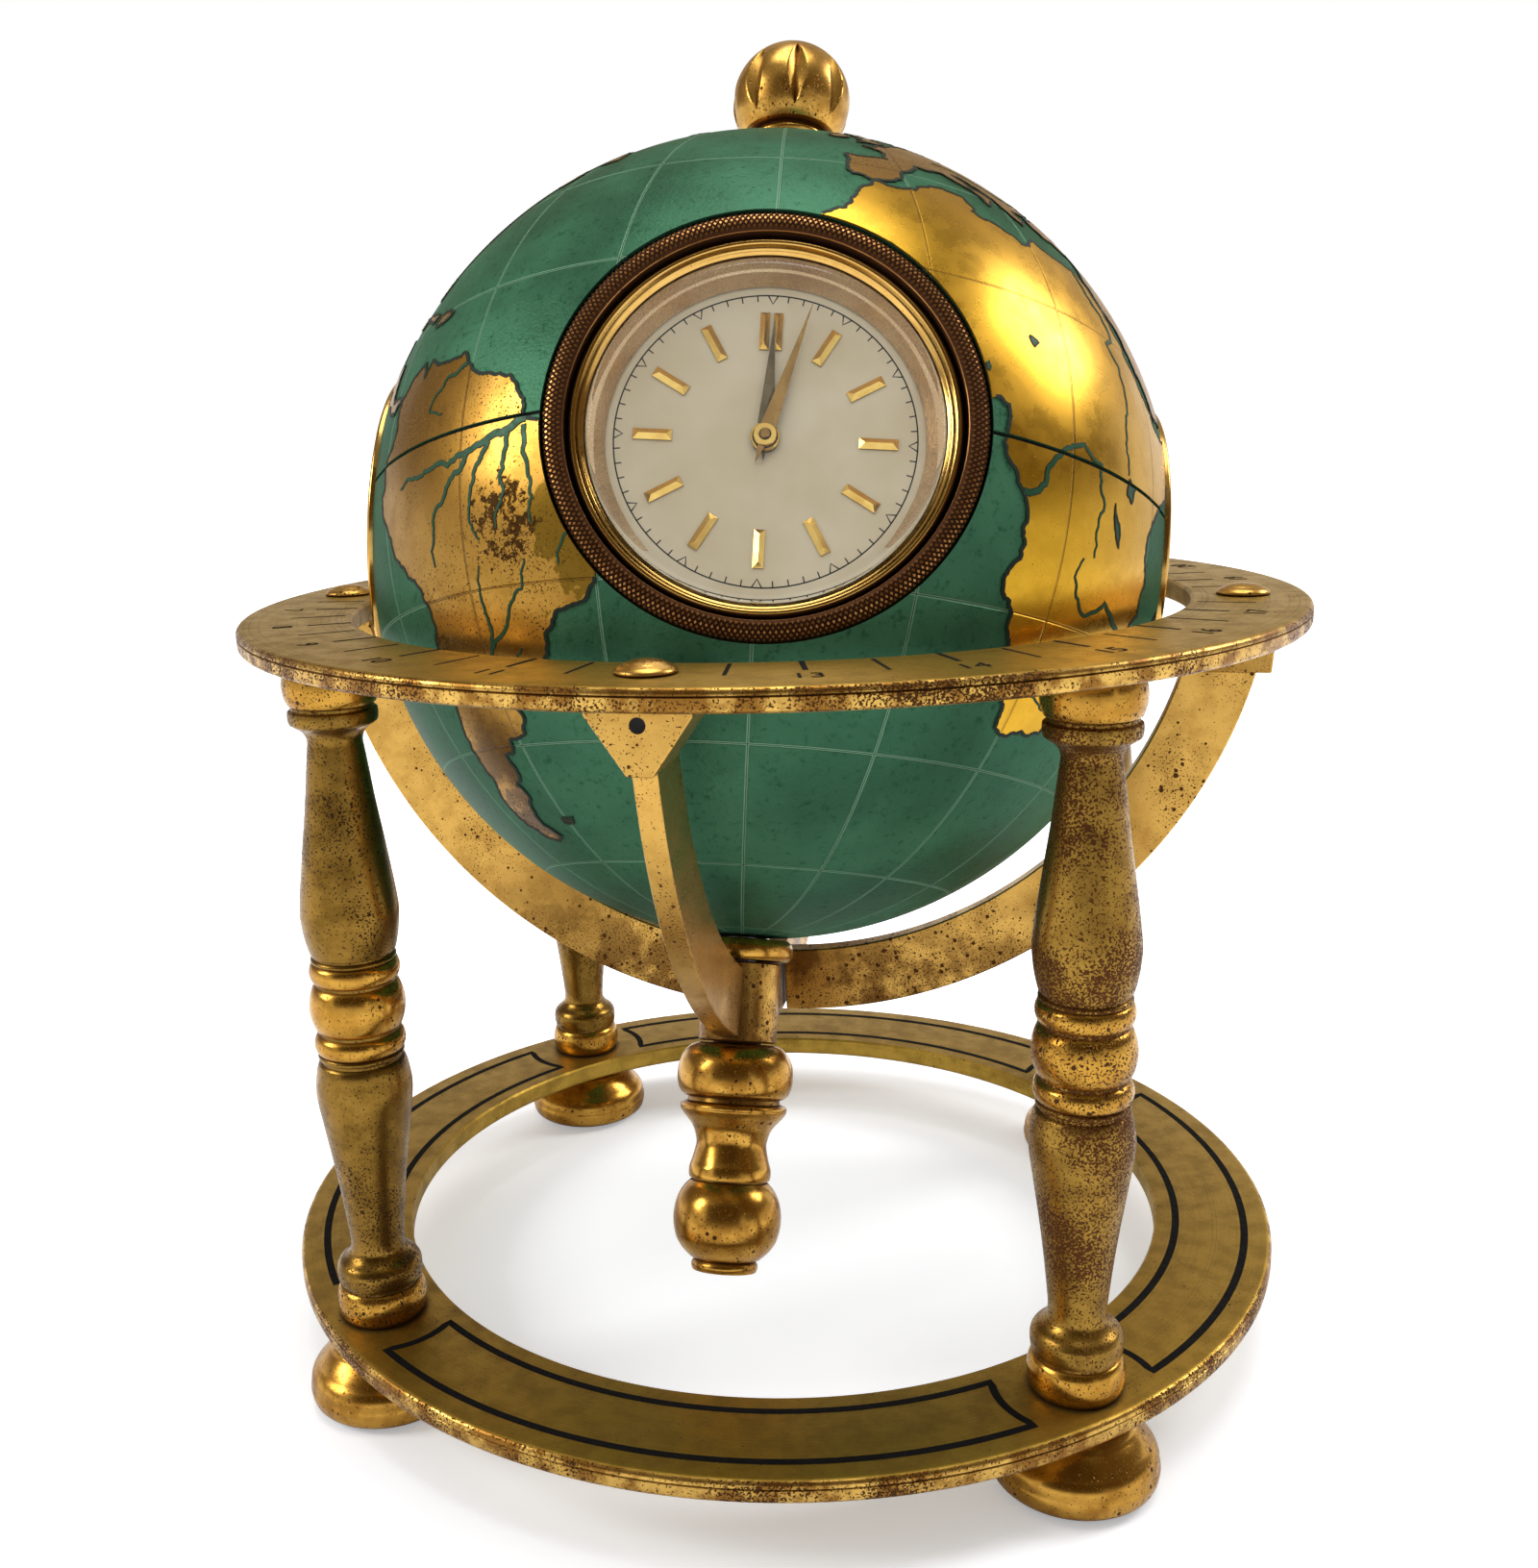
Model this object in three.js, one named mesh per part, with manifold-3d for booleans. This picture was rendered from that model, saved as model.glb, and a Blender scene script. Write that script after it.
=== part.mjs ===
// A brass desk globe with a clock in its front and three weather dials round its equator.
// The globe turns on its polar axis in a cradle under an hour ring, on four turned columns.
// Millimetres, +Z up. The origin is on the table, under the centre of the two rings.
import * as THREE from "three";
import { mergeVertices } from "three/addons/utils/BufferGeometryUtils.js";
import Module from "manifold-3d";

const wasm = await Module();
wasm.setup();

// Fits: flats that rest on each other, pieces seated in a tilted frame, running bores, cutter overrun
const seat = 0.1;
const gap = 0.3;
const running = 0.15;
const overrun = 2;
const weld = 1e-4;

// Counts of facets
const facets = {
  ring: 48, column: 12, foot: 16, pendant: 14, globe: 32, dial: 24, drum: 24, small: 12, pin: 8, arc: 14,
};

const globe = { radius: 65, shell: 2, seam: 0.6, tilt: 22.5, turn: 10.9, latitudes: 6 };
const hourRing = { clearance: 3.3, width: 18, thickness: 3.3, round: 0.9, drop: 7.8 };
const baseRing = { width: 19.1, thickness: 3.6, round: 1, inset: 0.45 };
const column = { radius: 7.65, length: 104, bore: 1.9, inset: 0.9, count: 4 };
const foot = { radius: 12.35, height: 11.3, socket: 7 };
const tieRod = { radius: 1.6, socket: 1.8 };
const cradle = {
  clearance: 5.2, depth: 11, thickness: 3.4, blockWidth: 14, blockHeight: 8.9, blockProud: 0.7, lipAngle: 3,
};
const setHole = { radius: 0.9, depth: 2.5, drop: 2.2 };
const capScrew = { radius: 3.8, height: 2, shank: 1.4, length: 6, inset: 0.5, shoulderShare: 0.8, riseShare: 0.7 };
const axis = { radius: 2.4, short: 2.6 };
const collar = { radius: 7.8, thickness: 3.3 };
const sleeve = { radius: 6.2, length: 12.7, spigot: 3.8, spigotLength: 4 };
const pendant = { radius: 9.05, length: 35.2 };
const knob = {
  radius: 9.85, flutes: 8, fluteDepth: 1.3, fluteWidth: 3.2, fluteLength: 14, height: 19.4, socket: 3.2,
};
const knobWasher = { radius: 8.2, height: 5.4, lip: 0.9, stepShare: 0.7, waistShare: 0.72, topShare: 0.62 };

// The clock slides into a cup. Heights are from the cup's floor, out along the dial's axis
const caseCan = { radius: 25.2, wall: 0.9, low: 9, high: 28.5 };
const bezel = { lap: 0.6, low: 28.9, shoulder: 34.2, crown: 35.2, rim: 2.4, ledge: 32.3, shelf: 1.5, edge: 0.8 };
const cup = { depth: 35.66, wall: 2.9, mouthRoom: 0.8, floorThickness: 1.5 };
const knurledRing = { lap: 1.3, step: 0.2, low: 31.2, shoulder: 35, crown: 35.9, bevel: 0.7 };
const crystal = { low: 32.6, edge: 0.9, dome: 1, breakShare: 0.6, riseShare: 0.64 };
const dial = { low: 27.8, thickness: 0.8, hole: 1.8 };
const marker = { count: 12, margin: 5.8, length: 5.3, width: 1.55, height: 0.6, pairPitch: 2.3 };
const plate = { inset: 2.5, thickness: 1.5, front: 23.5, back: 12, pillar: 1.6, pillarInset: 2.9, pillars: 3 };
const hourHand = { short: 4.7, width: 2.5, hub: 2.4, level: 29.6, thickness: 0.4, tail: 3.4, angle: 1.4 };
const minuteHand = { short: 1.9, width: 2.2, hub: 1.9, level: 30.4, thickness: 0.4, tail: 4.6, angle: 16.2 };
const arbor = { radius: 0.6, pipe: 0.9, low: 5, high: 30.9 };
const hourPipe = { bore: 1.05, radius: 1.5 };
const motion = { leaves: 6, minuteTeeth: 18, hourTeeth: 24, low: 25.3, thickness: 0.7, step: 1.1 };
const gearShares = { tip: 0.5, root: 0.95, tipWidth: 0.1, rootWidth: 0.24 };
const minutePost = { radius: 0.7, bearing: -35, shoulder: 2 };
const barrel = { clearance: 2, inset: 1.1, low: 14.2, high: 22.6, bore: 1.6, bearing: 200 };
const key = { arbor: 1.2, low: 3, high: 22.9, wing: 6.4, wingThickness: 2.2, wingHeight: 4.2, hub: 2.2 };
const settingKnob = { radius: 3.6, low: 3.2, high: 6.6 };
const balance = { radius: 6.4, rim: 1, thickness: 1, level: 16.6, staff: 0.6, inset: 2.1, bearing: 60, arm: 1.2 };

// The weather dials: the same turned tube, dial plate, glass and pointer three times.
// Heights are from the tube's floor
const weather = {
  radius: 25, wall: 1.5, depth: 13.87, crown: 15, floorThickness: 1.2, round: 0.6, boss: 2, bossHeight: 1.7,
};
const weatherDial = { level: 8.6, thickness: 0.8, hole: 1.1 };
const weatherGlass = { low: 12.5, thickness: 1, dome: 0.6, hole: 1.1 };
const pointer = {
  short: 5.7, width: 1.8, hub: 2, tail: 7, level: 10.2, thickness: 0.4, arbor: 0.8, bore: 0.4, low: 3, high: 11,
};
const setHand = {
  short: 7.7, width: 1.4, hub: 1.6, tail: 1.6, level: 11.5, thickness: 0.35, shaft: 0.8, bore: 0.4, knob: 2.4,
  knobHeight: 2.2, angle: -30,
};

// Outlines as shares: radius share, height share from the foot of each turned piece
const columnShares = [
  [0.95, 0], [0.98, 0.028], [0.8, 0.038], [0.93, 0.05], [0.9, 0.078], [0.66, 0.125], [0.76, 0.22], [1, 0.365],
  [0.88, 0.4], [0.93, 0.425], [0.93, 0.452], [0.8, 0.46], [0.98, 0.485], [0.98, 0.52], [0.8, 0.542],
  [0.92, 0.553], [0.92, 0.578], [0.8, 0.588], [1, 0.66], [0.86, 0.75], [0.58, 0.88], [0.9, 0.912], [0.9, 0.938],
  [0.8, 0.946], [0.96, 0.96], [0.94, 0.985], [0.85, 1],
];
const footShares = [[0.62, 0], [0.86, 0.12], [1, 0.38], [0.96, 0.66], [0.74, 0.9], [0.52, 1]];
const pendantShares = [
  [0.56, 0], [0.52, 0.05], [0.8, 0.11], [0.9, 0.21], [0.82, 0.31], [0.64, 0.38], [0.68, 0.41], [0.6, 0.55],
  [0.78, 0.66], [0.89, 0.7], [0.76, 0.755], [0.92, 0.8], [1, 0.88], [0.9, 0.96], [0.68, 1],
];
const knobShares = [[0.6, 0], [0.84, 0.14], [0.98, 0.34], [1, 0.5], [0.95, 0.68], [0.74, 0.88], [0.4, 0.97], [0, 1]];

const finishes = {
  brass: new THREE.MeshStandardMaterial({ color: 0xb8893a, roughness: 0.35, metalness: 1 }),
  bright: new THREE.MeshStandardMaterial({ color: 0xd9ac4e, roughness: 0.18, metalness: 1 }),
  bronze: new THREE.MeshStandardMaterial({ color: 0x6b4a24, roughness: 0.5, metalness: 1 }),
  enamel: new THREE.MeshStandardMaterial({ color: 0x2f7f6a, roughness: 0.3, metalness: 0.2 }),
  lacquer: new THREE.MeshStandardMaterial({ color: 0x15120f, roughness: 0.6, metalness: 0 }),
  steel: new THREE.MeshStandardMaterial({ color: 0x9a9ca0, roughness: 0.3, metalness: 1 }),
  silver: new THREE.MeshStandardMaterial({ color: 0xd8d0bd, roughness: 0.4, metalness: 0.3 }),
  glass: new THREE.MeshStandardMaterial({ color: 0xffffff, roughness: 0.02, metalness: 0, opacity: 0.2, transparent: true }),
};

// Places worked out from the driving sizes
const ring = {};
ring.bottom = foot.height + seat + baseRing.thickness + seat + column.length + seat;
ring.top = ring.bottom + hourRing.thickness;
ring.inner = globe.radius + hourRing.clearance;
ring.outer = ring.inner + hourRing.width;
const columnCircle = (ring.inner + ring.outer) / 2 - column.inset;
const baseMiddle = columnCircle - baseRing.inset;
const centreHeight = ring.top + hourRing.drop;
const cradleInner = globe.radius + cradle.clearance;
const cradleOuter = cradleInner + cradle.depth;
const screwCircle = (cradleInner + cradleOuter) / 2 + capScrew.inset;
const armTop = ring.bottom - seat - centreHeight;

const bezelRadius = caseCan.radius + bezel.lap;
const bezelLip = bezelRadius - bezel.rim;
const bezelSight = bezelLip - bezel.shelf;
const cupBore = caseCan.radius + gap;
const cupRadius = cupBore + cup.wall;
const cupMouth = bezelRadius + cup.mouthRoom;
const knurledBore = cupMouth + knurledRing.step;
const knurledRadius = cupRadius + knurledRing.lap;
const clockOpening = knurledRadius + gap;
const cupFloor = Math.sqrt(globe.radius ** 2 - clockOpening ** 2) - cup.depth;
const dialRadius = caseCan.radius - caseCan.wall - gap;
const markerOuter = dialRadius - marker.margin;
const plateRadius = dialRadius - plate.inset;
const wheelCentres = dialRadius / 2;
const barrelRadius = (plateRadius - barrel.inset - barrel.clearance) / 2;
const barrelOffset = barrelRadius + barrel.clearance;
const balanceOffset = plateRadius - balance.radius - balance.inset;
const hourLength = bezelSight - hourHand.short;
const minuteLength = bezelSight - minuteHand.short;

const weatherBore = weather.radius - weather.wall;
const weatherOpening = weather.radius + gap;
const weatherFloor = Math.sqrt(globe.radius ** 2 - weatherOpening ** 2) - weather.depth;
const weatherFace = weatherBore - gap;

const radians = THREE.MathUtils.degToRad;
const bearings = Array.from({ length: column.count }, (_, i) => radians(360 / column.count) * (i + 0.5));

// Solids: a closed mesh with welded corners and its faces pointing out
function solidOf(geometry) {
  const bare = geometry.clone();
  bare.deleteAttribute("normal");
  bare.deleteAttribute("uv");
  const merged = mergeVertices(bare, weld);
  const places = merged.getAttribute("position");
  const corner = [new THREE.Vector3(), new THREE.Vector3(), new THREE.Vector3()];
  const kept = [];
  let volume = 0;
  for (let i = 0; i < merged.index.count; i += 3) {
    const face = [merged.index.getX(i), merged.index.getX(i + 1), merged.index.getX(i + 2)];
    if (new Set(face).size === 3) {
      face.forEach((vertex, k) => corner[k].fromBufferAttribute(places, vertex));
      volume += corner[0].dot(corner[1].clone().cross(corner[2]));
      kept.push(face);
    }
  }
  const outward = volume > 0 ? kept : kept.map(([a, b, c]) => [a, c, b]);
  const vertProperties = new Float32Array(places.array);
  const triVerts = new Uint32Array(outward.flat());
  return new wasm.Manifold(new wasm.Mesh({ numProp: 3, vertProperties, triVerts }));
}

function geometryOf(solid) {
  const mesh = solid.getMesh();
  const geometry = new THREE.BufferGeometry();
  geometry.setAttribute("position", new THREE.BufferAttribute(new Float32Array(mesh.vertProperties), 3));
  geometry.setIndex(new THREE.BufferAttribute(new Uint32Array(mesh.triVerts), 1));
  geometry.computeVertexNormals();
  return geometry;
}

function piece(name, solid, finish) {
  const mesh = new THREE.Mesh(geometryOf(solid), finish);
  mesh.name = name;
  return mesh;
}

// Turned about Z from [radius, height] points that close on themselves or end on the axis
function turned(points, segments) {
  const geometry = new THREE.LatheGeometry(points.map(([r, z]) => new THREE.Vector2(r, z)), segments);
  geometry.rotateX(Math.PI / 2);
  return solidOf(geometry);
}

function bar(radius, low, high, segments) {
  return turned([[0, low], [radius, low], [radius, high], [0, high]], segments);
}

function tube(bore, radius, low, high, segments) {
  return turned([[bore, low], [radius, low], [radius, high], [bore, high], [bore, low]], segments);
}

function block(width, depth, height, x, y, z) {
  const geometry = new THREE.BoxGeometry(width, depth, height);
  geometry.translate(x, y, z);
  return solidOf(geometry);
}

function slab(shape, thickness, low, curveSegments) {
  const geometry = new THREE.ExtrudeGeometry(shape, { depth: thickness, bevelEnabled: false, curveSegments });
  geometry.translate(0, 0, low);
  return solidOf(geometry);
}

// The stand
function ringProfile(inner, outer, low, high, round) {
  return [
    [inner, low], [outer - round, low], [outer, low + round], [outer, high - round], [outer - round, high],
    [inner, high], [inner, low],
  ];
}

function makeBaseRing() {
  const low = foot.height + seat;
  const high = low + baseRing.thickness;
  const half = baseRing.width / 2;
  let solid = turned(ringProfile(baseMiddle - half, baseMiddle + half, low, high, baseRing.round), facets.ring);
  for (const bearing of bearings) {
    const hole = bar(column.bore, low - overrun, high + overrun, facets.pin);
    solid = solid.subtract(hole.translate([columnCircle * Math.cos(bearing), columnCircle * Math.sin(bearing), 0]));
  }
  return piece("base_ring", solid, finishes.brass);
}

function makeHourRing() {
  let solid = turned(ringProfile(ring.inner, ring.outer, ring.bottom, ring.top, hourRing.round), facets.ring);
  for (const bearing of bearings) {
    const socket = bar(column.bore, ring.bottom - overrun, ring.bottom + tieRod.socket + running, facets.pin);
    solid = solid.subtract(socket.translate([columnCircle * Math.cos(bearing), columnCircle * Math.sin(bearing), 0]));
    const screw = bearing + Math.PI / column.count;
    const hole = bar(capScrew.shank + gap, ring.bottom - overrun, ring.top + overrun, facets.pin);
    solid = solid.subtract(hole.translate([screwCircle * Math.cos(screw), screwCircle * Math.sin(screw), 0]));
  }
  return piece("hour_ring", solid, finishes.brass);
}

const corners = ["back_right", "back_left", "front_left", "front_right"];

function makeColumns() {
  const low = foot.height + seat + baseRing.thickness + seat;
  const outline = columnShares.map(([r, z]) => [r * column.radius, low + z * column.length]);
  const high = low + column.length;
  const solid = turned([[column.bore, low], ...outline, [column.bore, high], [column.bore, low]], facets.column);
  const made = [];
  corners.forEach((corner, i) => {
    const mesh = piece(`column_${corner}`, solid, finishes.brass);
    mesh.position.set(columnCircle * Math.cos(bearings[i]), columnCircle * Math.sin(bearings[i]), 0);
    made.push(mesh);
  });
  return made;
}

function makeFeet() {
  const outline = footShares.map(([r, z]) => [r * foot.radius, z * foot.height]);
  const floor = foot.height - foot.socket;
  const bored = [[column.bore, foot.height], [column.bore, floor], [0, floor]];
  const solid = turned([[0, 0], ...outline, ...bored], facets.foot);
  return corners.map((corner, i) => {
    const mesh = piece(`foot_${corner}`, solid, finishes.bright);
    mesh.position.set(columnCircle * Math.cos(bearings[i]), columnCircle * Math.sin(bearings[i]), 0);
    return mesh;
  });
}

function makeTieRods() {
  const low = foot.height - foot.socket + running;
  const solid = bar(tieRod.radius, low, ring.bottom + tieRod.socket, facets.pin);
  return corners.map((corner, i) => {
    const mesh = piece(`tie_rod_${corner}`, solid, finishes.steel);
    mesh.position.set(columnCircle * Math.cos(bearings[i]), columnCircle * Math.sin(bearings[i]), 0);
    return mesh;
  });
}

const sides = ["right", "back", "left", "front"];

function makeCapScrews() {
  const top = ring.top + seat;
  const dome = [
    [capScrew.radius, top],
    [capScrew.radius * capScrew.shoulderShare, top + capScrew.height * capScrew.riseShare],
    [0, top + capScrew.height],
  ];
  const shank = [[0, ring.bottom - capScrew.length], [capScrew.shank, ring.bottom - capScrew.length]];
  const solid = turned([...shank, [capScrew.shank, top], ...dome], facets.small);
  return sides.map((side, i) => {
    const mesh = piece(`cap_screw_${side}`, solid, finishes.bright);
    mesh.position.set(screwCircle * Math.cos(i * Math.PI / 2), screwCircle * Math.sin(i * Math.PI / 2), 0);
    return mesh;
  });
}

// A cradle arm in its own frame: it hangs from the ring at +X and bends down round the globe's centre.
// The arc runs from the ring down to the angle given, measured from +X towards -Z.
function armSolid(angle) {
  const start = -Math.asin(armTop / cradleInner) - radians(cradle.lipAngle);
  const shape = new THREE.Shape();
  shape.absarc(0, 0, cradleOuter, -start, -angle, true);
  shape.absarc(0, 0, cradleInner, -angle, -start, false);
  const arcGeometry = new THREE.ExtrudeGeometry(shape, {
    depth: cradle.thickness, bevelEnabled: false, curveSegments: facets.arc,
  });
  arcGeometry.translate(0, 0, -cradle.thickness / 2);
  arcGeometry.rotateX(Math.PI / 2);
  const flare = new THREE.Shape();
  flare.moveTo(-cradle.blockWidth / 2, 0);
  flare.lineTo(cradle.blockWidth / 2, 0);
  flare.lineTo(cradle.thickness / 2, -cradle.blockHeight);
  flare.lineTo(-cradle.thickness / 2, -cradle.blockHeight);
  flare.closePath();
  const flareGeometry = new THREE.ExtrudeGeometry(flare, {
    depth: cradle.depth + cradle.blockProud, bevelEnabled: false,
  });
  flareGeometry.rotateX(Math.PI / 2);
  flareGeometry.rotateZ(Math.PI / 2);
  const inner = Math.sqrt(cradleInner ** 2 - armTop ** 2);
  flareGeometry.translate(inner, 0, armTop);
  const span = cradleOuter + cradleOuter;
  const above = block(span, span, span, 0, 0, armTop + span / 2);
  const hole = bar(capScrew.shank + gap, armTop - capScrew.length, armTop + overrun, facets.pin);
  const face = inner + cradle.depth + cradle.blockProud;
  const pinHole = bar(setHole.radius, 0, setHole.depth + overrun, facets.pin).rotate([0, 90, 0])
    .translate([face - setHole.depth, 0, armTop - setHole.drop]);
  return solidOf(arcGeometry).add(solidOf(flareGeometry)).subtract(above)
    .subtract(hole.translate([screwCircle, 0, 0])).subtract(pinHole);
}

function sleeveHole() {
  const high = -(globe.radius - overrun);
  const solid = bar(sleeve.radius + gap, -(cradleOuter + overrun), high, facets.small);
  return solid.rotate([-globe.tilt, 0, 0]);
}

function makeArms() {
  const reach = Math.PI / 2 - radians(globe.tilt);
  const past = radians(globe.tilt) + Math.PI / 2;
  const front = armSolid(reach).rotate([0, 0, -90]).subtract(sleeveHole());
  const back = armSolid(past).rotate([0, 0, 90]).subtract(sleeveHole());
  const butt = Math.PI / 2 - (cradle.thickness / 2 + gap) / cradleInner;
  const right = armSolid(butt);
  const left = armSolid(butt).rotate([0, 0, 180]);
  const made = [
    piece("arm_front", front, finishes.brass), piece("arm_back", back, finishes.brass),
    piece("arm_right", right, finishes.brass), piece("arm_left", left, finishes.brass),
  ];
  made.forEach((mesh) => {
    mesh.position.z = centreHeight;
  });
  return made;
}

// Pieces on the polar axis, in a frame tilted with it: +Z is north, the origin is the globe's centre
const southPole = -globe.radius;
const collarLow = southPole - gap - collar.thickness;
const sleeveLow = collarLow - gap - sleeve.length;
const bearingBore = axis.radius + gap;

function makePivot() {
  const washer = tube(bearingBore, collar.radius, collarLow, southPole - gap, facets.small);
  const sleeveTop = collarLow - gap;
  const spigotLow = sleeveLow - sleeve.spigotLength;
  const sleeveSolid = turned([
    [bearingBore, spigotLow], [sleeve.spigot, spigotLow], [sleeve.spigot, sleeveLow], [sleeve.radius, sleeveLow],
    [sleeve.radius, sleeveTop], [bearingBore, sleeveTop], [bearingBore, spigotLow],
  ], facets.small);
  const top = sleeveLow - gap;
  const low = top - pendant.length;
  const outline = pendantShares.map(([r, z]) => [r * pendant.radius, low + z * pendant.length]);
  const socketFloor = spigotLow - gap;
  const socket = [[sleeve.spigot + gap, top], [sleeve.spigot + gap, socketFloor], [0, socketFloor]];
  const drop = turned([[0, low], ...outline, ...socket], facets.pendant);
  return [
    piece("pivot_collar", washer, finishes.brass),
    piece("pivot_sleeve", sleeveSolid, finishes.brass),
    piece("pendant", drop, finishes.bright),
  ];
}

function meridian(radius, low, count) {
  const start = Math.asin(low / radius);
  return Array.from({ length: count + 1 }, (_, i) => {
    const angle = start + (Math.PI / 2 - start) * i / count;
    return [i === count ? 0 : radius * Math.cos(angle), radius * Math.sin(angle)];
  });
}

function hemisphere(sign) {
  const outside = meridian(globe.radius, globe.seam / 2, globe.latitudes).reverse();
  const inside = meridian(globe.radius - globe.shell, globe.seam / 2, globe.latitudes);
  let solid = turned([...outside, ...inside].map(([r, z]) => [r, sign * z]), facets.globe);
  solid = solid.subtract(bar(bearingBore, -globe.radius - overrun, globe.radius + overrun, facets.small));
  const openings = [clockOpening, weatherOpening, weatherOpening, weatherOpening];
  openings.forEach((radius, i) => {
    const cutter = bar(radius, 0, globe.radius + overrun, facets.dial);
    solid = solid.subtract(cutter.rotate([90, 0, 0]).rotate([0, 0, 90 * i]));
  });
  return solid;
}

function makeGlobe() {
  const washerLow = globe.radius + gap;
  const knobLow = washerLow + knobWasher.height + gap;
  const rod = bar(axis.radius, sleeveLow + axis.short, knobLow + knob.socket - gap, facets.small);
  const washer = turned([
    [bearingBore, washerLow], [knobWasher.radius, washerLow], [knobWasher.radius, washerLow + knobWasher.lip],
    [knobWasher.radius * knobWasher.waistShare, washerLow + knobWasher.height * knobWasher.stepShare],
    [knobWasher.radius * knobWasher.topShare, washerLow + knobWasher.height],
    [bearingBore, washerLow + knobWasher.height], [bearingBore, washerLow],
  ], facets.dial);
  const outline = knobShares.map(([r, z]) => [r * knob.radius, knobLow + z * knob.height]);
  const socket = [[0, knobLow + knob.socket], [bearingBore, knobLow + knob.socket], [bearingBore, knobLow]];
  let ball = turned([...socket, ...outline], facets.foot);
  const middle = knobLow + knob.height / 2;
  for (let i = 0; i < knob.flutes; i += 1) {
    const flute = new THREE.OctahedronGeometry(1, 1);
    flute.scale(knob.fluteDepth, knob.fluteWidth / 2, knob.fluteLength / 2);
    flute.translate(knob.radius, 0, middle);
    flute.rotateZ(2 * Math.PI * i / knob.flutes);
    ball = ball.subtract(solidOf(flute));
  }
  return [
    piece("shell_north", hemisphere(1), finishes.enamel), piece("shell_south", hemisphere(-1), finishes.enamel),
    piece("axis_rod", rod, finishes.steel), piece("knob_washer", washer, finishes.bright),
    piece("knob", ball, finishes.bright),
  ];
}

// A dial's own frame: +Z is its axis outwards, +Y is north, +X is right as it is read
function dialFrame(longitude, floor, pieces) {
  const frame = new THREE.Group();
  frame.rotation.set(Math.PI / 2, 0, radians(longitude), "ZYX");
  const sunk = new THREE.Group();
  sunk.position.z = floor;
  sunk.add(...pieces);
  frame.add(sunk);
  return frame;
}

function at(bearing, distance) {
  return [distance * Math.sin(radians(bearing)), distance * Math.cos(radians(bearing)), 0];
}

function makeClockSocket() {
  const top = knurledRing.low - gap;
  const step = bezel.low - gap;
  const cupSolid = turned([
    [0, 0], [cupRadius, 0], [cupRadius, top], [cupMouth, top], [cupMouth, step], [cupBore, step],
    [cupBore, cup.floorThickness], [0, cup.floorThickness],
  ], facets.dial);
  const ringSolid = turned([
    [knurledBore, knurledRing.low], [knurledRadius, knurledRing.low], [knurledRadius, knurledRing.shoulder],
    [knurledRadius - knurledRing.bevel, (knurledRing.shoulder + knurledRing.crown) / 2],
    [(knurledRadius + knurledBore) / 2, knurledRing.crown],
    [knurledBore, knurledRing.crown - knurledRing.bevel], [knurledBore, knurledRing.low],
  ], facets.dial);
  return [piece("clock_cup", cupSolid, finishes.lacquer), piece("knurled_ring", ringSolid, finishes.bronze)];
}

function makeCase() {
  const keyHole = bar(key.arbor + gap, caseCan.low - overrun, caseCan.low + overrun, facets.pin);
  const arborHole = bar(arbor.radius + gap, caseCan.low - overrun, caseCan.low + overrun, facets.pin);
  const can = turned([
    [0, caseCan.low], [caseCan.radius, caseCan.low], [caseCan.radius, caseCan.high],
    [caseCan.radius - caseCan.wall, caseCan.high], [caseCan.radius - caseCan.wall, caseCan.low + caseCan.wall],
    [0, caseCan.low + caseCan.wall],
  ], facets.dial).subtract(arborHole).subtract(keyHole.translate(at(barrel.bearing, barrelOffset)));
  const bezelSolid = turned([
    [bezelSight, bezel.low], [bezelRadius, bezel.low], [bezelRadius, bezel.shoulder],
    [bezelRadius - bezel.edge, bezel.crown], [bezelLip + bezel.edge, bezel.crown],
    [bezelLip, bezel.crown - bezel.edge], [bezelLip, bezel.ledge], [bezelLip - bezel.edge, bezel.ledge],
    [bezelSight, bezel.low],
  ], facets.dial);
  const crystalRadius = bezelLip - gap;
  const crystalEdge = crystal.low + crystal.edge;
  const crystalSolid = turned([
    [0, crystal.low], [crystalRadius, crystal.low], [crystalRadius, crystalEdge],
    [crystalRadius * crystal.breakShare, crystalEdge + crystal.dome * crystal.riseShare],
    [0, crystalEdge + crystal.dome],
  ], facets.dial);
  return [
    piece("clock_case", can, finishes.brass), piece("clock_bezel", bezelSolid, finishes.bright),
    piece("clock_crystal", crystalSolid, finishes.glass),
  ];
}

function makeDial() {
  let solid = tube(dial.hole, dialRadius, dial.low, dial.low + dial.thickness, facets.dial);
  const middle = markerOuter - marker.length / 2;
  const top = dial.low + dial.thickness;
  for (let i = 0; i < marker.count; i += 1) {
    const offsets = i === 0 ? [-marker.pairPitch / 2, marker.pairPitch / 2] : [0];
    for (const offset of offsets) {
      const low = top - dial.thickness / 2;
      const high = top + marker.height;
      const baton = block(marker.width, marker.length, high - low, offset, middle, (low + high) / 2);
      solid = solid.add(baton.rotate([0, 0, -360 * i / marker.count]));
    }
  }
  return piece("clock_dial", solid, finishes.silver);
}

function handSolid(hand, length, bore) {
  const shape = new THREE.Shape();
  shape.moveTo(0, length);
  shape.lineTo(hand.width / 2, hand.hub);
  shape.lineTo(0, -hand.tail);
  shape.lineTo(-hand.width / 2, hand.hub);
  shape.closePath();
  const blade = slab(shape, hand.thickness, hand.level, 1);
  const hub = bar(hand.hub, hand.level, hand.level + hand.thickness, facets.small);
  const hole = bar(bore, hand.level - overrun, hand.level + overrun, facets.pin);
  return blade.add(hub).subtract(hole).rotate([0, 0, -(hand.angle ?? 0)]);
}

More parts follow.
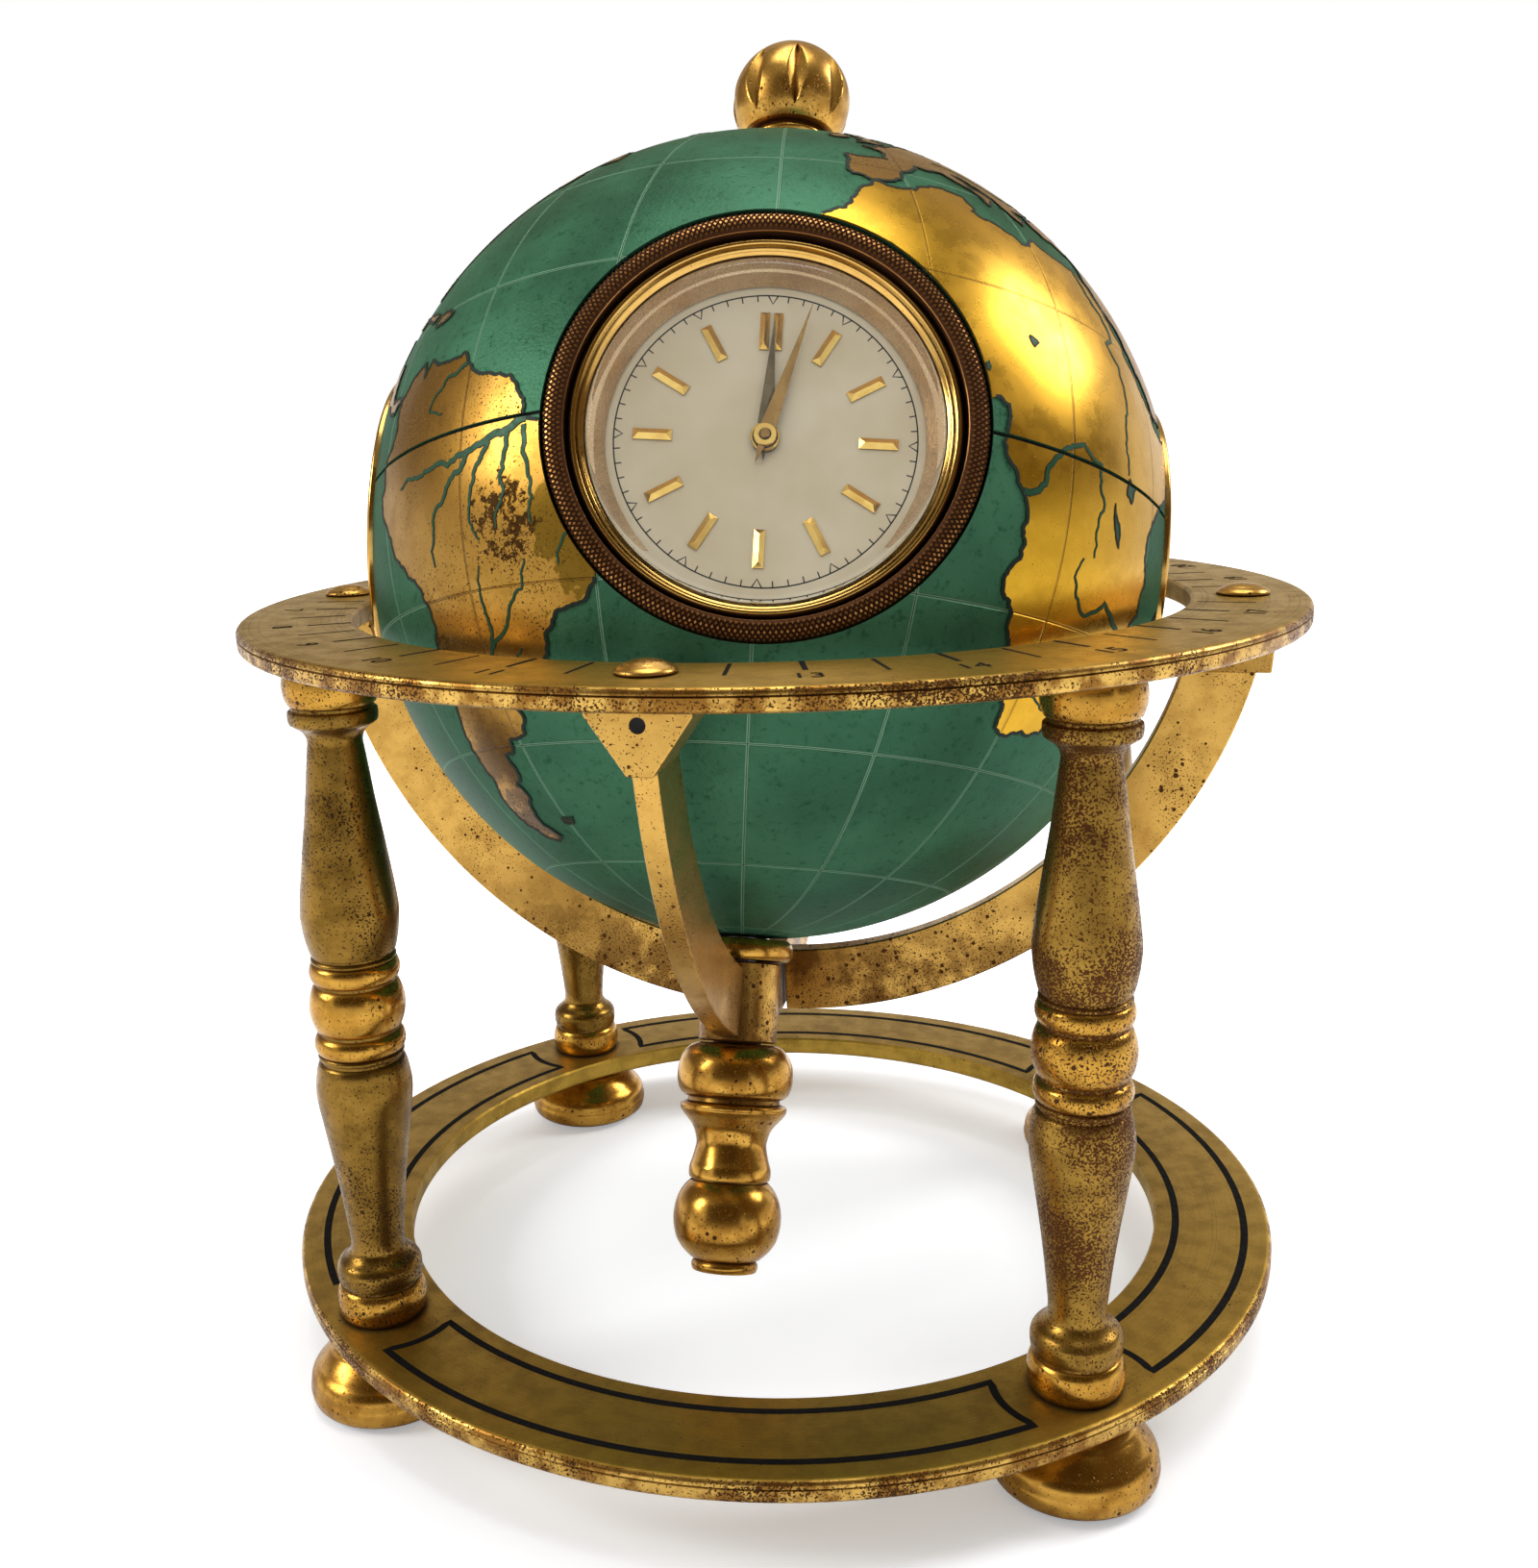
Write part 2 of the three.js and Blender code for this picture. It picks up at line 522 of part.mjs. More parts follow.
// A gear of straight-sided teeth, one of them centred on the bearing given
function gearSolid(teeth, pitchRadius, low, thickness, bearing) {
  const module = 2 * pitchRadius / teeth;
  const tip = pitchRadius + module * gearShares.tip;
  const root = pitchRadius - module * gearShares.root;
  const pitch = 2 * Math.PI / teeth;
  const shape = new THREE.Shape();
  for (let i = 0; i < teeth; i += 1) {
    const middle = Math.PI / 2 - radians(bearing) + i * pitch;
    const corner = [
      [root, -gearShares.rootWidth], [tip, -gearShares.tipWidth], [tip, gearShares.tipWidth], [root, gearShares.rootWidth],
    ];
    corner.forEach(([radius, share], k) => {
      const angle = middle + share * pitch;
      const place = [radius * Math.cos(angle), radius * Math.sin(angle)];
      if (i === 0 && k === 0) {
        shape.moveTo(...place);
      } else {
        shape.lineTo(...place);
      }
    });
  }
  shape.closePath();
  return slab(shape, thickness, low, 1);
}

function makeMotionWork() {
  const { leaves, minuteTeeth, hourTeeth, low, thickness, step } = motion;
  const cannonRadius = wheelCentres * leaves / (leaves + minuteTeeth);
  const pinionRadius = wheelCentres * leaves / (leaves + hourTeeth);
  const halfHourPitch = 180 / hourTeeth;
  const halfMinutePitch = 180 / minuteTeeth;
  const towards = minutePost.bearing;
  const cannon = gearSolid(leaves, cannonRadius, low, thickness, towards)
    .add(bar(arbor.radius, arbor.low, arbor.high, facets.pin))
    .add(bar(arbor.pipe, low, minuteHand.level - running, facets.pin));
  const upper = low + step;
  const pipe = tube(hourPipe.bore, hourPipe.radius, upper, hourHand.level + hourHand.thickness, facets.small);
  const hourWheel = gearSolid(hourTeeth, wheelCentres - pinionRadius, upper, thickness, towards + halfHourPitch)
    .subtract(bar(hourPipe.bore, upper - overrun, upper + overrun, facets.small)).add(pipe);
  const postHole = bar(minutePost.radius + running, low - overrun, upper + thickness + overrun, facets.pin);
  const minuteWheel = gearSolid(minuteTeeth, wheelCentres - cannonRadius, low, thickness, 180 + towards + halfMinutePitch)
    .add(gearSolid(leaves, pinionRadius, low + thickness / 2, step + thickness / 2, 180 + towards))
    .subtract(postHole).translate(at(towards, wheelCentres));
  return [
    piece("centre_arbor", cannon, finishes.steel), piece("hour_wheel", hourWheel, finishes.bright),
    piece("minute_wheel", minuteWheel, finishes.bright),
  ];
}

function makeMovement() {
  const frontHigh = plate.front + plate.thickness;
  const backHigh = plate.back + plate.thickness;
  const arborHole = bar(arbor.radius + running, plate.back - overrun, frontHigh + overrun, facets.pin);
  const staffHole = bar(balance.staff + running, plate.back - overrun, frontHigh + overrun, facets.pin);
  const keyHole = bar(key.arbor + gap, plate.back - overrun, frontHigh + overrun, facets.pin);
  const drilled = (solid) => solid.subtract(arborHole)
    .subtract(keyHole.translate(at(barrel.bearing, barrelOffset)))
    .subtract(staffHole.translate(at(balance.bearing, balanceOffset)));
  const post = bar(minutePost.radius, plate.front + plate.thickness / 2, frontHigh + minutePost.shoulder, facets.pin);
  const front = bar(plateRadius, plate.front, frontHigh, facets.dial)
    .add(post.translate(at(minutePost.bearing, wheelCentres)));
  let back = bar(plateRadius, plate.back, backHigh, facets.dial);
  for (let i = 0; i < plate.pillars; i += 1) {
    const pillar = bar(plate.pillar, plate.back + plate.thickness / 2, plate.front - gap, facets.pin);
    back = back.add(pillar.translate(at(360 * i / plate.pillars, plateRadius - plate.pillarInset)));
  }
  const drum = tube(barrel.bore, barrelRadius, barrel.low, barrel.high, facets.drum)
    .translate(at(barrel.bearing, barrelOffset));
  const balanceTop = balance.level + balance.thickness;
  const rim = tube(balance.radius - balance.rim, balance.radius, balance.level, balanceTop, facets.drum);
  const cross = block(
    2 * balance.radius - balance.rim, balance.arm, balance.thickness, 0, 0, (balance.level + balanceTop) / 2,
  );
  const staff = bar(balance.staff, plate.back, frontHigh, facets.pin);
  const wheel = rim.add(cross).add(staff).translate(at(balance.bearing, balanceOffset));
  return [
    piece("plate_front", drilled(front), finishes.brass), piece("plate_back", drilled(back), finishes.brass),
    piece("mainspring_barrel", drum, finishes.bright), piece("balance_wheel", wheel, finishes.bright),
  ];
}

function makeHandwork() {
  const wings = block(2 * key.wing, key.wingThickness, key.wingHeight, 0, 0, key.low + key.wingHeight / 2);
  const keySolid = wings.add(bar(key.hub, key.low, key.low + key.wingHeight, facets.small))
    .add(bar(key.arbor, key.low, key.high, facets.pin)).translate(at(barrel.bearing, barrelOffset));
  const knobSolid = tube(arbor.radius + running, settingKnob.radius, settingKnob.low, settingKnob.high, facets.small);
  return [piece("winding_key", keySolid, finishes.bright), piece("setting_knob", knobSolid, finishes.bright)];
}

function makeClock() {
  return dialFrame(0, cupFloor, [
    ...makeClockSocket(), ...makeCase(), makeDial(), ...makeMotionWork(), ...makeMovement(), ...makeHandwork(),
    piece("hour_hand", handSolid(hourHand, hourLength, hourPipe.radius + running), finishes.bright),
    piece("minute_hand", handSolid(minuteHand, minuteLength, arbor.radius + running), finishes.bright),
  ]);
}

function makeSetHand(name, glassTop) {
  const knobLow = glassTop + gap;
  const knobTop = knobLow + setHand.knobHeight;
  const solid = handSolid(setHand, weatherFace - setHand.short, setHand.bore)
    .add(bar(setHand.shaft, setHand.level, knobTop, facets.pin))
    .add(bar(setHand.knob, knobLow, knobTop, facets.small));
  return piece(`${name}_set_hand`, solid, finishes.bright);
}

function makeWeatherDial(name, longitude, hasSetHand) {
  const { radius, crown, floorThickness, round, boss } = weather;
  const bossTop = floorThickness + weather.bossHeight;
  const tubeSolid = turned([
    [0, 0], [radius, 0], [radius, crown - round], [radius - round, crown], [weatherBore, crown - round],
    [weatherBore, floorThickness], [boss, floorThickness], [boss, bossTop], [0, bossTop],
  ], facets.dial);
  const { level, thickness } = weatherDial;
  const face = tube(weatherDial.hole, weatherFace, level, level + thickness, facets.dial);
  const glassTop = weatherGlass.low + weatherGlass.thickness;
  const disc = turned([
    [0, weatherGlass.low], [weatherFace, weatherGlass.low], [weatherFace, glassTop - weatherGlass.dome],
    [weatherFace / 2, glassTop], [0, glassTop],
  ], facets.dial);
  const glass = hasSetHand ? disc.subtract(bar(weatherGlass.hole, 0, glassTop + overrun, facets.pin)) : disc;
  const needle = handSolid(pointer, weatherFace - pointer.short, pointer.bore)
    .add(bar(pointer.arbor, pointer.low, pointer.high, facets.pin));
  return dialFrame(longitude, weatherFloor, [
    piece(`${name}_case`, tubeSolid, finishes.bright), piece(`${name}_dial`, face, finishes.silver),
    piece(`${name}_glass`, glass, finishes.glass), piece(`${name}_pointer`, needle, finishes.steel),
    ...(hasSetHand ? [makeSetHand(name, glassTop)] : []),
  ]);
}

function makeGlobeClock() {
  const whole = new THREE.Group();
  whole.add(
    makeBaseRing(), makeHourRing(), ...makeColumns(), ...makeFeet(), ...makeTieRods(), ...makeCapScrews(), ...makeArms(),
  );
  const tilted = new THREE.Group();
  tilted.position.z = centreHeight;
  tilted.rotation.x = -radians(globe.tilt);
  tilted.add(...makePivot());
  const turning = new THREE.Group();
  turning.rotation.z = radians(globe.turn);
  turning.add(
    ...makeGlobe(), makeClock(), makeWeatherDial("thermometer", 90, false), makeWeatherDial("barometer", 180, true),
    makeWeatherDial("hygrometer", 270, false),
  );
  tilted.add(turning);
  whole.add(tilted);
  return whole;
}

export default makeGlobeClock();
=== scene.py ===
import math
import random
from functools import partial

import bmesh
import bpy
from mathutils import Matrix, Vector, geometry


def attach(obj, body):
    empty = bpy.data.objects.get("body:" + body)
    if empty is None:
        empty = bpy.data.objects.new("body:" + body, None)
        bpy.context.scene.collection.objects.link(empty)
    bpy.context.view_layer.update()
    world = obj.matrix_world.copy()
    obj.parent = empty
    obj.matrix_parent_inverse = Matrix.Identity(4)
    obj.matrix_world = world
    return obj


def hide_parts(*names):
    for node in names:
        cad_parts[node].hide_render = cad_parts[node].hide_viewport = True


bl_info = {
    "name": "Globe Clock",
    "version": (1, 0, 0),
    "blender": (4, 5, 0),
    "location": "View3D > Sidebar > Globe Clock",
    "description": "Builds a brass and lacquer globe clock on a stand of four turned columns",
    "category": "Add Mesh",
}

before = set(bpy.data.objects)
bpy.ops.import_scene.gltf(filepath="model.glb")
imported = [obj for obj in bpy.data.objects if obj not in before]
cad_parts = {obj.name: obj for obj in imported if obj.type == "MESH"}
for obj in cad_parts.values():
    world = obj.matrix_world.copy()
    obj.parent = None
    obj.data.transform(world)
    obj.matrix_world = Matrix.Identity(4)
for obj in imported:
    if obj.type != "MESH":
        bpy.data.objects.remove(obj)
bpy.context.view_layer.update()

# Lengths are in millimetres and are turned to metres when a piece is made
MM = 0.001
GLOBE = 65.0
CENTRE = Vector((0, 0, 130.3))
TILT = math.radians(22.5)
TURN = math.radians(10.9)
CLOCK_MERIDIAN = -20
AXIS = Matrix.Translation(CENTRE) @ Matrix.Rotation(-TILT, 4, "X")
POLAR = AXIS @ Matrix.Rotation(TURN, 4, "Z")
CORNERS = {"back_right": 45, "back_left": 135, "front_left": 225, "front_right": 315}
SIDES = {"right": 0, "back": 90, "left": 180, "front": 270}
COLUMN_CIRCLE = 76.4
SCREW_CIRCLE = 76.2
BASE_INNER, BASE_OUTER, BASE_LOW, BASE_TOP = 66.4, 85.5, 11.4, 15.0
HOUR_INNER, HOUR_OUTER, HOUR_LOW, HOUR_TOP = 68.3, 86.3, 119.2, 122.5
COLUMN_RADIUS, COLUMN_LENGTH, COLUMN_FOOT = 7.65, 104, 15.1
FOOT_RADIUS, FOOT_HEIGHT = 12.35, 11.3
# Along the globe's axis, from its centre
PENDANT_RADIUS, PENDANT_LENGTH, PENDANT_LOW = 9.05, 35.2, -117.1
KNOB_RADIUS, KNOB_BOTTOM = 10.1, 69.5
SHELL_WALL = 2.0
SEAM_HALF = 0.3
# Along a dial's own axis, from the globe's centre
CLOCK_FACE = 50.6
WEATHER_FACE = 55.4
# How far an inked line stands over the metal, so that it shows
INK_LIFT = 0.03
DIALS = {"clock": 0, "thermometer": 90, "barometer": 180, "hygrometer": 270}
OPENINGS = {"clock": 30.0, "thermometer": 25.3, "barometer": 25.3, "hygrometer": 25.3}


def linear(code):
    """An sRGB hex value as linear red, green, blue and alpha."""
    parts = [int(code[i:i + 2], 16) / 255 for i in (1, 3, 5)]
    return [p / 12.92 if p <= 0.04045 else ((p + 0.055) / 1.055) ** 2.4 for p in parts] + [1.0]


# Geography, latitude and longitude in degrees
LANDS = {
    "south_america": [
        (8.5, -77.5), (9.5, -76), (11, -74.8), (12.3, -72), (11.2, -71.6), (9.6, -71.2), (11.3, -70.2),
        (12, -70), (10.6, -68), (10.3, -65), (10.7, -62), (9.5, -61), (8.4, -60), (6.8, -58), (6, -55),
        (5.5, -52.5), (4, -51.3), (2, -50), (0.5, -50), (-0.7, -48.5), (-1, -46.5), (-2.5, -44),
        (-2.8, -41), (-3.5, -38.5), (-5, -36), (-7, -34.8), (-9.5, -35.5), (-12.5, -38), (-15, -39),
        (-18, -39.5), (-20.5, -40.3), (-22.5, -41.9), (-23, -44), (-24.5, -47), (-26, -48.5),
        (-28.5, -48.8), (-31, -50.8), (-33.5, -53.3), (-34.8, -55), (-34.2, -58), (-36.5, -56.8),
        (-38.5, -58), (-39, -62), (-41, -63), (-41, -65), (-43, -64.5), (-45, -65.5), (-45.5, -67.3),
        (-47.5, -66), (-50, -68), (-52.3, -68.5), (-54.5, -65.5), (-55.5, -68), (-54.5, -71.5),
        (-52, -74.5), (-49, -75.5), (-46.5, -75), (-44, -73.2), (-41.5, -74), (-38, -73.5), (-35, -72.5),
        (-30, -71.5), (-25, -70.5), (-20, -70.2), (-18, -71), (-16, -74), (-13.5, -76.3), (-10, -78.2),
        (-6, -81), (-4, -81.2), (-2.5, -80), (0, -80.2), (1.5, -78.9), (4, -77.3), (7, -78),
    ],
    "africa": [
        (35.8, -6), (35, -2), (37, 3), (37.3, 10), (35, 11), (34, 10.2), (33, 12), (32.5, 15), (30.5, 18),
        (31, 20), (32.8, 22), (31.5, 25), (31, 29), (31.5, 32), (30, 32.6), (27.5, 34), (24, 35.5),
        (21, 37), (18.5, 37.5), (15.5, 39.5), (13, 42.8), (11.5, 43.3), (11, 45), (11.8, 51), (10, 51),
        (5, 48.5), (1, 44.5), (-2, 41), (-5, 39), (-9, 39.5), (-11, 40.5), (-15, 40.7), (-17.5, 38),
        (-20, 35), (-22, 35.4), (-24.5, 35.3), (-26, 32.8), (-29, 32), (-32, 29), (-34, 26), (-34.3, 22),
        (-34.8, 20), (-34, 18.4), (-31, 17.9), (-28.5, 16.4), (-23, 14.4), (-18, 11.8), (-15, 12.1),
        (-12, 13.6), (-8.5, 13.3), (-6, 12.2), (-4, 11), (-1, 9), (1, 9.5), (3.8, 9.6), (4.5, 8.3),
        (4.4, 6), (6.3, 4.3), (6.2, 1.5), (4.9, -2), (5, -5), (4.4, -7.7), (6.5, -11), (8.5, -13.3),
        (11, -15), (13.5, -16.7), (14.7, -17.4), (16.5, -16.3), (20, -16.2), (21, -17), (24, -16),
        (26.5, -14.3), (28, -12.5), (30, -9.8), (33, -8.5), (34.5, -6.5),
    ],
    "eurasia": [
        (36, -5.6), (37, -8.9), (38.7, -9.4), (41, -8.8), (43.3, -9.2), (43.5, -4), (43.5, -1.6),
        (46, -1.2), (47.5, -2.8), (48.5, -4.7), (48.7, -1.8), (49.7, -1.3), (49.5, 0.2), (51, 1.8),
        (53, 4.8), (53.7, 8), (55.5, 8.2), (57.5, 9.8), (56, 10.7), (54.3, 10.5), (54.2, 14), (54.6, 18.5),
        (55.5, 21), (57.5, 22), (57.3, 24.3), (59, 23.5), (59.6, 28), (60.5, 27.5), (60, 22.5), (63, 21.3),
        (65.5, 25), (65.7, 22), (62.5, 17.5), (60.5, 17.2), (59, 18), (56.5, 16.3), (55.4, 14), (55.5, 13),
        (58, 11.5), (59.2, 10.6), (58, 7.5), (59.5, 5.3), (62, 5.2), (64.5, 10.5), (68, 15), (70.5, 22),
        (71, 27), (69.5, 31), (67, 41), (66.5, 33.5), (64.5, 36.5), (66, 44), (68, 46), (68.5, 54),
        (69, 60), (69, 67), (73, 70), (71, 73), (73, 80), (76, 95), (77.5, 104), (74, 112), (73, 125),
        (71, 135), (72.5, 142), (71, 160), (69.5, 171), (68, 185), (66, 190), (64.5, 187), (64, 178),
        (62, 179), (60, 170), (60, 164), (56.5, 163), (51.5, 156.8), (56, 156), (61.5, 161), (59.5, 152),
        (59, 143), (54.5, 137), (53, 141), (47, 139), (43, 133), (39.5, 128), (36, 129.5), (34.5, 126.5),
        (38, 125), (39.5, 121.5), (40.5, 118.5), (37.5, 119), (37, 122.5), (35, 119.5), (31, 122),
        (27, 120.5), (23, 117), (22, 113.5), (21, 110), (21.5, 108), (18.5, 105.8), (15, 109), (11.5, 109),
        (8.7, 105), (10.5, 105), (13, 100.7), (10, 99.3), (7, 100.5), (3, 103.5), (1.4, 104), (3, 101),
        (6, 100.2), (8.5, 98.3), (13, 98.5), (16.5, 97.5), (16, 94.5), (20, 93), (22.5, 91), (21.8, 88),
        (19.5, 85), (16, 81), (13, 80.2), (10, 79.8), (8, 77.5), (12, 75), (16, 73.4), (20, 72.8), (21, 70),
        (23, 69), (25, 66.5), (25.3, 61), (26.5, 57), (27, 55), (30, 50.5), (29.8, 48.5), (26.5, 50.2),
        (24.5, 51.5), (24, 54), (26, 56.3), (22.5, 59.8), (18.5, 57), (15, 51.5), (12.8, 45), (16, 42.8),
        (21, 39), (25, 37), (28, 34.8), (29.5, 35), (31.3, 34.3), (34, 35.8), (36.7, 36), (36.2, 33),
        (37, 30.5), (36.7, 28), (38.5, 26.5), (40.3, 26.5), (41, 29), (41.8, 33), (41.2, 38), (41.8, 41.7),
        (44.5, 38), (47, 39), (46, 35), (44.5, 33.5), (46.3, 31), (44, 28.6), (41.5, 28.2), (40.8, 26),
        (40.5, 23.5), (38, 24), (36.7, 22.8), (38.5, 20.8), (41.5, 19.5), (43.5, 16), (45.3, 14),
        (45, 12.4), (42, 14.3), (41.8, 16), (40.5, 18.3), (39, 17), (38, 15.8), (40.5, 14.8), (42.5, 11.3),
        (44, 9.5), (43.2, 6.5), (43.3, 3.5), (41.5, 2.5), (39.5, -0.3), (37.7, -0.8), (36.7, -2.5),
        (36.3, -4.8),
    ],
    "north_america": [
        (7.3, -80.5), (8.3, -83), (10, -85.7), (13, -87.5), (13.8, -91), (16, -94.5), (16.5, -99),
        (19.3, -104.5), (23, -106.5), (28, -111), (31.3, -113.5), (31.5, -114.8), (27.5, -112.2),
        (23.2, -109.7), (28, -114.3), (32.5, -117.2), (34.5, -120.6), (38.5, -123), (43, -124.5),
        (48.3, -124.6), (50.5, -127.5), (55, -131), (59, -138), (60.5, -146), (59.5, -152), (57, -157),
        (54.8, -163.5), (58.5, -158), (60.5, -165), (64.5, -162), (66, -168), (68.5, -166), (71.2, -157),
        (70, -142), (69.5, -130), (69, -115), (68, -105), (69, -95), (72, -94), (69, -85), (66, -85),
        (63, -91), (58.7, -94.5), (57, -90), (55, -83), (52, -80), (55, -79), (58.5, -77), (62.5, -77),
        (60, -69), (58.5, -66), (60.3, -64.5), (56, -60.5), (52.3, -56), (50, -60), (49, -66),
        (46.5, -64.5), (45.5, -61), (43.5, -65.5), (44.5, -67.5), (42, -70.6), (41.3, -72), (39, -74.8),
        (36, -75.8), (34, -78), (31, -81.3), (27, -80.1), (25.2, -80.6), (28, -82.8), (30, -84),
        (30.3, -88), (29.2, -90), (29.5, -94), (27, -97.3), (22.5, -97.8), (19, -96), (18.5, -93),
        (21, -90.3), (21.3, -87), (18.5, -88), (15.8, -88.5), (15.9, -84), (12, -83.6), (9.5, -82),
        (9.5, -79.7), (8.8, -77.7),
    ],
    "greenland": [
        (60, -44), (61, -48.5), (65, -53.5), (70, -54.5), (75, -58), (77, -69), (79, -66), (82, -55),
        (83.3, -35), (81.5, -15), (76, -20), (71, -23), (68.5, -27), (65.5, -38),
    ],
    "australia": [
        (-11, 142.3), (-16.5, 145.5), (-20, 148.8), (-25, 153), (-31, 153), (-37.6, 150), (-39, 146.4),
        (-38, 141), (-35.5, 138), (-33, 137.8), (-34.8, 135.5), (-31.7, 131), (-33.8, 123), (-35, 117.5),
        (-34, 115), (-28, 113.8), (-22, 114), (-20.5, 119), (-17.5, 122.3), (-14.5, 126.5), (-15, 129.5),
        (-11.8, 132.5), (-12.5, 136.8), (-15.5, 135.7), (-17.7, 140.5), (-14, 141.6),
    ],
    "iceland": [(63.5, -19), (64, -22.5), (65.5, -24.2), (66.4, -20), (66.3, -15.5), (64.5, -14)],
    "britain": [
        (50.2, -5.3), (51.3, -3), (52, -4.7), (54, -3), (55, -5), (58.5, -5), (58.4, -3.2), (57.5, -2),
        (55.5, -1.8), (53, 0.3), (51.2, 1.3), (50.7, -1),
    ],
    "ireland": [(51.7, -9.5), (54, -10), (55.2, -7.5), (54, -5.8), (52.2, -6.4)],
    "madagascar": [
        (-12.2, 49.2), (-16, 50.2), (-21, 48.4), (-25.2, 47), (-25, 44.5), (-21.5, 43.5), (-16.3, 44.5),
        (-14, 48),
    ],
    "new_guinea": [
        (-0.8, 131), (-3, 135), (-2.5, 140), (-5.5, 146), (-8, 148), (-10.5, 150.5), (-9, 143), (-8, 138),
        (-5, 137.8), (-4, 133),
    ],
    "borneo": [(7, 117), (4, 118), (1, 118.8), (-3.5, 116), (-3, 111), (1, 109), (3, 113)],
    "sumatra": [(5.5, 95.3), (3, 99.5), (-1, 103.5), (-5.8, 105.8), (-3.5, 102), (1, 98.5)],
    "java": [(-6, 105.5), (-6.2, 110.5), (-8, 114.3), (-8.3, 109), (-7, 106)],
    "philippines": [
        (18.5, 120.8), (16, 122), (12.5, 124.5), (8, 126.5), (6, 125), (8, 122.5), (13, 120.8), (16, 120),
    ],
    "japan": [
        (41.3, 141.4), (38, 141.5), (35, 140.5), (34.5, 137), (33.5, 135.7), (31.3, 131), (33.5, 129.8),
        (35.5, 133), (37, 137), (39.5, 140),
    ],
    "hokkaido": [(45.4, 141.8), (43.3, 145.3), (42, 143), (41.5, 140.3), (43.2, 140.5)],
    "new_zealand_north": [(-34.6, 173), (-37.7, 178), (-41.3, 175), (-39.5, 173.8), (-37, 174.7)],
    "new_zealand_south": [(-40.7, 173), (-43, 173), (-46.5, 169.5), (-45.5, 166.8), (-42.5, 171)],
    "tasmania": [(-41, 145), (-41, 148.2), (-43.5, 147), (-43, 145.5)],
    "ceylon": [(9.5, 80), (7.5, 81.8), (6, 80.5), (8, 79.8)],
    "cuba": [(23, -82.5), (22.3, -78.5), (20.2, -74.5), (20, -77), (22, -80), (22, -84.5)],
    "hispaniola": [(19.8, -73), (19, -69), (18, -71.5), (18.3, -74)],
    "baffin": [(73.5, -83), (72, -76), (67, -62.5), (62.5, -66), (65, -73), (68.5, -75), (70, -82)],
    "victoria_island": [(73, -116), (72, -106), (69.5, -104), (69, -112), (71, -118)],
    "newfoundland": [(51.5, -55.7), (49, -53.6), (46.8, -53.5), (47.7, -59)],
    "falklands": [(-51.4, -61), (-51.3, -57.8), (-52.3, -58.5), (-52.2, -61)],
}
LAKES = {
    "caspian": [
        (46.5, 49), (45, 47), (42, 48.3), (38, 49.5), (36.8, 51.5), (37, 54), (41, 53), (44.5, 51),
        (46.5, 53),
    ],
    "superior": [(46.8, -91.5), (48.6, -88.5), (47, -84.8), (46.5, -88)],
    "michigan": [(45.9, -86), (42, -86.5), (42, -87.6), (44.5, -87.8)],
    "huron": [(46, -83.5), (45.3, -80.5), (43.3, -82), (44.5, -83.4)],
    "victoria": [(0.6, 32.3), (-0.2, 34), (-2.4, 33), (-1.6, 31.7)],
    "chad": [(14, 13.6), (13.4, 15), (12.6, 14.2)],
    "tanganyika": [(-3.4, 29), (-5.5, 29.9), (-8.6, 31), (-7, 29.8), (-4.6, 29)],
    "aral": [(46.5, 59.5), (45.5, 61.5), (43.6, 59.6), (44.8, 58.3)],
}
